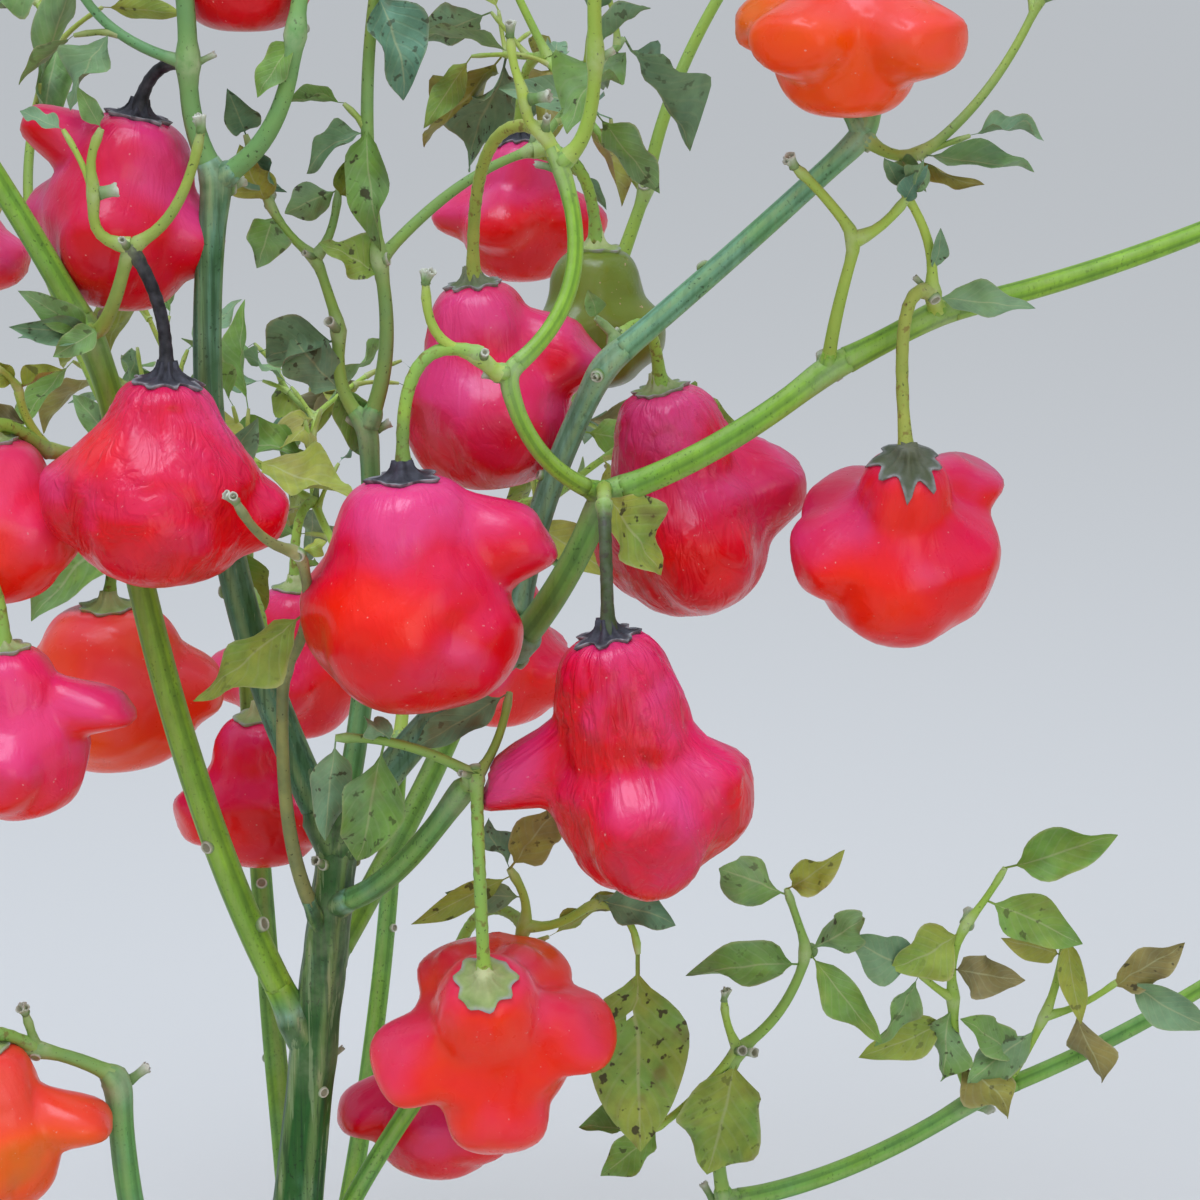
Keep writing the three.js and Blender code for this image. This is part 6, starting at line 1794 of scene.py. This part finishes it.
def leaf_row(leaf, spray_tint, wither, young, look=None):
    root = leaf["twig"]["curve"].at(leaf["along"])
    reach = leaf["root"] + leaf["reach"] - root
    facing = UP if leaf["grown"] else vec([0, -1, 0.35])
    y = unit(reach)
    upright = facing - y * float(facing @ y)
    upright = across(y) if size_of(upright) < 0.05 else unit(upright)
    upright = turned(upright, y, leaf_chance.normal(0, 0.6 if leaf["grown"] else 0.35))
    withered = min(1.0, leaf_chance.random() ** 1.3 + wither)
    form = min(int(withered * 10 + leaf_chance.uniform(0, 2)), len(FORM_KINDS) - 2)
    if young:
        form = int(leaf_chance.choice(YOUNG_FORMS))
    tint = np.clip(spray_tint + leaf_chance.normal(0, 0.2) + 0.15 * (withered - 0.4), 0, 1)
    spotted = leaf_chance.random()
    if look:
        form, tint, spotted = look
    length = size_of(reach)
    stretch = [leaf["width"] * 1.12, length, min(leaf["width"] * 1.6, length)]
    marks = {"tint": float(tint), "spotted": spotted, "pale": leaf_chance.random()}
    return form_row(root - y * 0.4, form, reach, upright, stretch, marks)


leaf_rows = []
for plan in plans:
    chance_tint = leaf_chance.uniform(*USUAL_TINT)
    tint = plan["tint"] or chance_tint
    for i, leaf in enumerate(plan["leaves"]):
        look = LEAF_LOOKS.get((plan["name"], i))
        leaf_rows.append(leaf_row(leaf, tint, plan["wither"], False, look))
young_rows = [leaf_row(leaf, YOUNG_TINT, 0, True) for leaf in young_leaves]

# %% [markdown]
# ### The skin of a leaf
# Common name: fading pepper leaf. It grew thin and matt. In autumn it fades from blue-green to
# yellow and olive, spots, curls in and shrivels. The light spreads over it with no highlight,
# and a pale midrib and faint side veins tell the eye which way the blade runs.

# %% Material of the leaves
FADING = (
    (0, "#6A9479"),
    (0.25, "#7FA074"),
    (0.45, "#7BA34A"),
    (0.65, "#A6AE48"),
    (0.82, "#9A8E4E"),
    (1, "#7F7856"),
)


def leaf_skin():
    paint = Paint("fading pepper leaf", Roughness=0.55, IOR=1.42, Specular_IOR_Level=0.35)
    tint, spotted, pale = paint.marks("tint", "spotted", "pale")
    aside, blade = paint.marks("aside", "blade")
    tone = paint.maths("MULTIPLY_ADD", paint.noise(60, 3), 0.5, tint)
    paint.colour = paint.ramp(paint.maths("SUBTRACT", tone, 0.25, clamp=True), *FADING)
    mottle = paint.cloud(210, 4, (0.3, 0.8), (0.7, 1.12))
    paint.lay(1.0, mottle, "MULTIPLY")
    off = paint.maths("ABSOLUTE", paint.maths("SUBTRACT", aside, 0.5))
    outward = paint.maths("SUBTRACT", blade, paint.times(off, 0.6))
    where = paint.node("ShaderNodeCombineXYZ", X=off, Y=outward).outputs[0]
    bands = {"wave_type": "BANDS", "bands_direction": "Y"}
    values = {"Vector": where, "Scale": 2.6, "Distortion": 1.2, "Detail": 1.0}
    vein = paint.node("ShaderNodeTexWave", bands, **values).outputs["Fac"]
    vein = paint.ramp(vein, (0.8, 0), (0.98, 0.13))
    paint.lay(vein, "#A9B58A")
    paint.lay(paint.ramp(off, (0.008, 0.42), (0.028, 0)), "#B9BF8E")
    margin = paint.times(paint.ramp(off, (0.44, 0), (0.5, 0.5)), pale)
    paint.lay(margin, "#C2BC92")
    spots = paint.times(paint.cloud(330, 2, (0.62, 0), (0.67, 1)), paint.times(spotted, 0.9))
    paint.lay(spots, "#3B3422")
    blotch = paint.times(paint.cloud(95, 2, (0.6, 0), (0.72, 0.6)), spotted)
    paint.lay(blotch, "#77653C")
    relief = paint.maths("MULTIPLY_ADD", paint.noise(420, 3), 0.5, paint.times(vein, -1.2))
    return paint.finish(relief, 0.6, 0.5)


leaf_material = leaf_skin()
leaves = forms_on("leaves", leaf_rows, leaf_forms, leaf_material)
young = forms_on("young_leaves", young_rows, leaf_forms, leaf_material)

# %% [markdown]
# ## Step 9: stubs and scars
# Each fork of a pepper carries the broken-off end of a fruit stalk or a shoot: a short stub with
# a ragged pale end, or only a round scar. They are small cups, so four forms do for all.

# %% Three stub forms and one scar form
CUP_SIDES = 14
STUB_KINDS = [
    # name, how ragged its end is, and its rings from foot to floor as along and radius
    ("short", 0.06, (0, 0.3, 0.7, 0.95, 1, 0.9, 0.7), (0.5, 0.42, 0.43, 0.52, 0.48, 0.32, 0.2)),
    ("bent", 0.1, (0, 0.4, 0.8, 1, 1, 0.8, 0.6), (0.46, 0.36, 0.4, 0.5, 0.4, 0.25, 0.15)),
    ("thin", 0.08, (0, 0.5, 0.9, 1, 0.97, 0.85, 0.8), (0.4, 0.28, 0.3, 0.3, 0.2, 0.12, 0.08)),
    ("scar", 0.02, (0, 0.35, 0.7, 1, 1, 0.75, 0.8), (0.62, 0.6, 0.56, 0.5, 0.42, 0.36, 0.2)),
]
SCAR = 3


def cup_form(name, ragged, alongs, radii):
    """A closed cup along Y, one unit long."""
    places = []
    for along, radius in zip(alongs, radii):
        lift = ragged * np.where(along > 0.85, leaf_chance.uniform(-1, 1, CUP_SIDES), 0)
        for angle, extra in zip(angles(CUP_SIDES), lift):
            places.append([radius * math.cos(angle), along + extra, -radius * math.sin(angle)])
    places += [[0, alongs[0], 0], [0, alongs[-1], 0]]
    outside = (len(alongs) - 2) * CUP_SIDES
    hollow = [0.0] * outside + [1.0] * (2 * CUP_SIDES) + [0.0, 1.0]
    marks = {"end": [min(1, max(0, p[1] * 1.6 - 0.7)) for p in places], "hollow": hollow}
    faces = ring_faces(len(alongs), CUP_SIDES)
    return mesh_of("stub_form_" + name, places, faces, marks, unit_mm=1)


stub_forms = form_collection("stub", [cup_form(*kind) for kind in STUB_KINDS])

# %% Where stubs stand
STUB_LENGTH, STUB_WIDTH = (3.4, 6.2), (2.6, 3.6)
SCAR_LENGTH, SCAR_WIDTH = (1.2, 1.7), (2.4, 3.6)
ARM_STUB_CHANCE, FORK_STUB_CHANCE = 0.75, 0.65
SCAR_PLACES, SCAR_SPACING = (0.1, 0.85), 70
TIP_STUB_LENGTH, TIP_STUB_WIDTH = (2.6, 4.4), (2, 2.6)
TIP_STUB_LEANS = (0.35, 0.9, 0.9)
stub_chance = np.random.default_rng(6)
stub_rows = []


def add_stub(place, ahead, radius, form=None, size=None, sideways=None):
    """A stub on the skin of a stem, at an angle to the stem's way."""
    turn = stub_chance.uniform(0, 6.28)
    side = turned(across(ahead), ahead, turn) if sideways is None else unit(sideways)
    form = int(stub_chance.choice([0, 0, 1, 2, SCAR, SCAR])) if form is None else form
    length = stub_chance.uniform(*(STUB_LENGTH if form < SCAR else SCAR_LENGTH))
    wide = stub_chance.uniform(*(STUB_WIDTH if form < SCAR else SCAR_WIDTH))
    length, wide = size or (length, wide)
    way = side + ahead * (0.5 if form < SCAR else 0.1)
    marks = {"age": float(stub_chance.random())}
    foot = place + side * (radius - 0.5)
    stub_rows.append(form_row(foot, form, way, ahead, [wide, length, wide], marks))


for limb in limbs.values():
    for arm in limb["arms"] * 2:
        ahead = limb["curve"].heading(min(arm["along"], 0.98))
        back = -unit(arm["heading"] - ahead * float(arm["heading"] @ ahead) + vec([0, -0.35, 0]))
        if stub_chance.random() < ARM_STUB_CHANCE:
            spot = limb["curve"].at(max(0.0, arm["along"] - 0.01))
            add_stub(spot, ahead, radius_of(limb, arm["along"]) * 1.1, sideways=back)
    length = size_of(limb["curve"].tip - limb["curve"].foot)
    for along in stub_chance.uniform(*SCAR_PLACES, int(length / SCAR_SPACING)):
        place, ahead = limb["curve"].at(along), limb["curve"].heading(along)
        add_stub(place, ahead, radius_of(limb, along), SCAR)
for plan in plans:
    for twig in plan["twigs"].values():
        ahead = twig["curve"].heading(0.99)
        for _ in range(1 if twig["grown"] else 2):
            if twig["forks"] and stub_chance.random() < FORK_STUB_CHANCE:
                form = int(stub_chance.integers(0, SCAR + 1))
                add_stub(twig["curve"].tip, ahead, twig["tip_radius"] * 1.1, form)
for twig in bare_tips:
    ahead = twig["curve"].heading(0.99)
    for lean in TIP_STUB_LEANS:
        turn = stub_chance.uniform(0, 6.28)
        way = unit(ahead + turned(across(ahead), ahead, turn) * lean)
        wide = stub_chance.uniform(*TIP_STUB_WIDTH) * twig["tip_radius"]
        size = [stub_chance.uniform(*TIP_STUB_LENGTH), wide]
        add_stub(twig["curve"].tip, ahead, 0.2, int(stub_chance.integers(0, SCAR)), size, way)

# %% [markdown]
# ### The skin of a stub
# Common name: dried stub of a pepper shoot. It was green, broke off and dried, so its end is
# torn, pale and straw-like round a hollow pith. It is rough and gives the eye no highlight.

# %% Material of the stubs
def stub_skin():
    paint = Paint("dried stub of a pepper shoot", Roughness=0.7, IOR=1.4)
    torn_end, hollow = paint.marks("end", "hollow")
    paint.colour = paint.cloud(200, 3, (0.3, "#6C8F4E"), (0.7, "#8FA873"))
    straw = paint.cloud(420, 3, (0.3, "#A9A692"), (0.7, "#E2E4D6"))
    paint.lay(torn_end, straw)
    # Painted shade: the inside of the hollow end is painted darker.
    paint.lay(paint.times(hollow, 0.6), "#7A705C")
    return paint.finish(paint.noise(800, 3), 0.3, 0.6)


stubs = forms_on("stubs", stub_rows, stub_forms, stub_skin())

# %% [markdown]
# ## Step 10: what each new piece stands for
# The plant stands still, so all of it moves with the one body.

# %% Replaced solids and body
spray_names = [row["name"] for row in SPRAYS]
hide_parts("main_stem")
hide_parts(*[row[0] for row in BOUGHS])
foliage = (twigs, stalks, front_pods, outer_pods, calyxes, leaves, young)
for piece in foliage:
    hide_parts(*spray_names)
for piece in (main_stem, boughs, *foliage, stubs):
    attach(piece, "root")
    print(piece.name, len(piece.data.polygons))

# %% [markdown]
# ## Step 11: floor, light and camera
# A plain pale floor, an overcast sky and one large soft light from above. The sky's light is a
# little blue. Its reflection in the pods' skin adds to the magenta-pink that is painted on the
# upper slopes of the red pods as a reflection of the sky.

# %% Floor
FLOOR_RADIUS, FLOOR_SIDES = 30.0, 64  # in metres
corners = angles(FLOOR_SIDES)
ring = np.stack([np.cos(corners), np.sin(corners), 0 * corners], 1) * FLOOR_RADIUS
floor_mesh = mesh_of("floor", ring, [tuple(range(FLOOR_SIDES))], unit_mm=1)
floor = add_object("floor", floor_mesh)
floor_paint = Paint("matt pale paint", Roughness=0.9, Base_Color=linear("#D5D6D2"))
floor_mesh.materials.append(floor_paint.material)

# %% Sky and lights
world = bpy.data.worlds.new("overcast sky")
bpy.context.scene.world = world
bpy.context.scene.view_settings.view_transform = "Standard"
world.use_nodes = True
sky = world.node_tree
way = add_node(sky, "ShaderNodeTexCoord").outputs["Generated"]
height = add_node(sky, "ShaderNodeSeparateXYZ", i0=way).outputs["Z"]
glow = add_node(sky, "ShaderNodeValToRGB", i0=height)
for stop, (share, colour) in zip(glow.color_ramp.elements, ((0, "#9CA6B8"), (0.85, "#F4F7FF"))):
    stop.position = share
    stop.color = linear(colour)
sky.links.new(glow.outputs[0], sky.nodes["Background"].inputs["Color"])
sky.nodes["Background"].inputs["Strength"].default_value = 0.95


def soft_light(name, place, aim, size, watts, hex_colour):
    data = bpy.data.lights.new(name, "AREA")
    data.size = size
    data.energy = watts
    data.color = linear(hex_colour)[:3]
    light = add_object(name, data)
    light.location = place
    light.rotation_euler = (Vector(aim) - Vector(place)).to_track_quat("-Z", "Y").to_euler()


soft_light("sky_light", (-0.15, -0.3, 1.9), (0.1, 0, 0.35), 0.9, 18, "#DCE7FF")
soft_light("front_fill", (0.8, -1.9, 0.8), (0.1, 0, 0.35), 1.2, 7, "#FFF0DE")

# %% Camera at the photograph's viewing angle
camera_data = bpy.data.cameras.new("camera")
camera_data.sensor_fit = "HORIZONTAL"
camera_data.angle = math.radians(25.127)
camera_data.clip_end = 100
camera = add_object("camera", camera_data)
camera.location = (0.098, -0.67615, 0.55217)
camera.rotation_euler = (math.radians(75), 0, 0)
bpy.context.scene.camera = camera
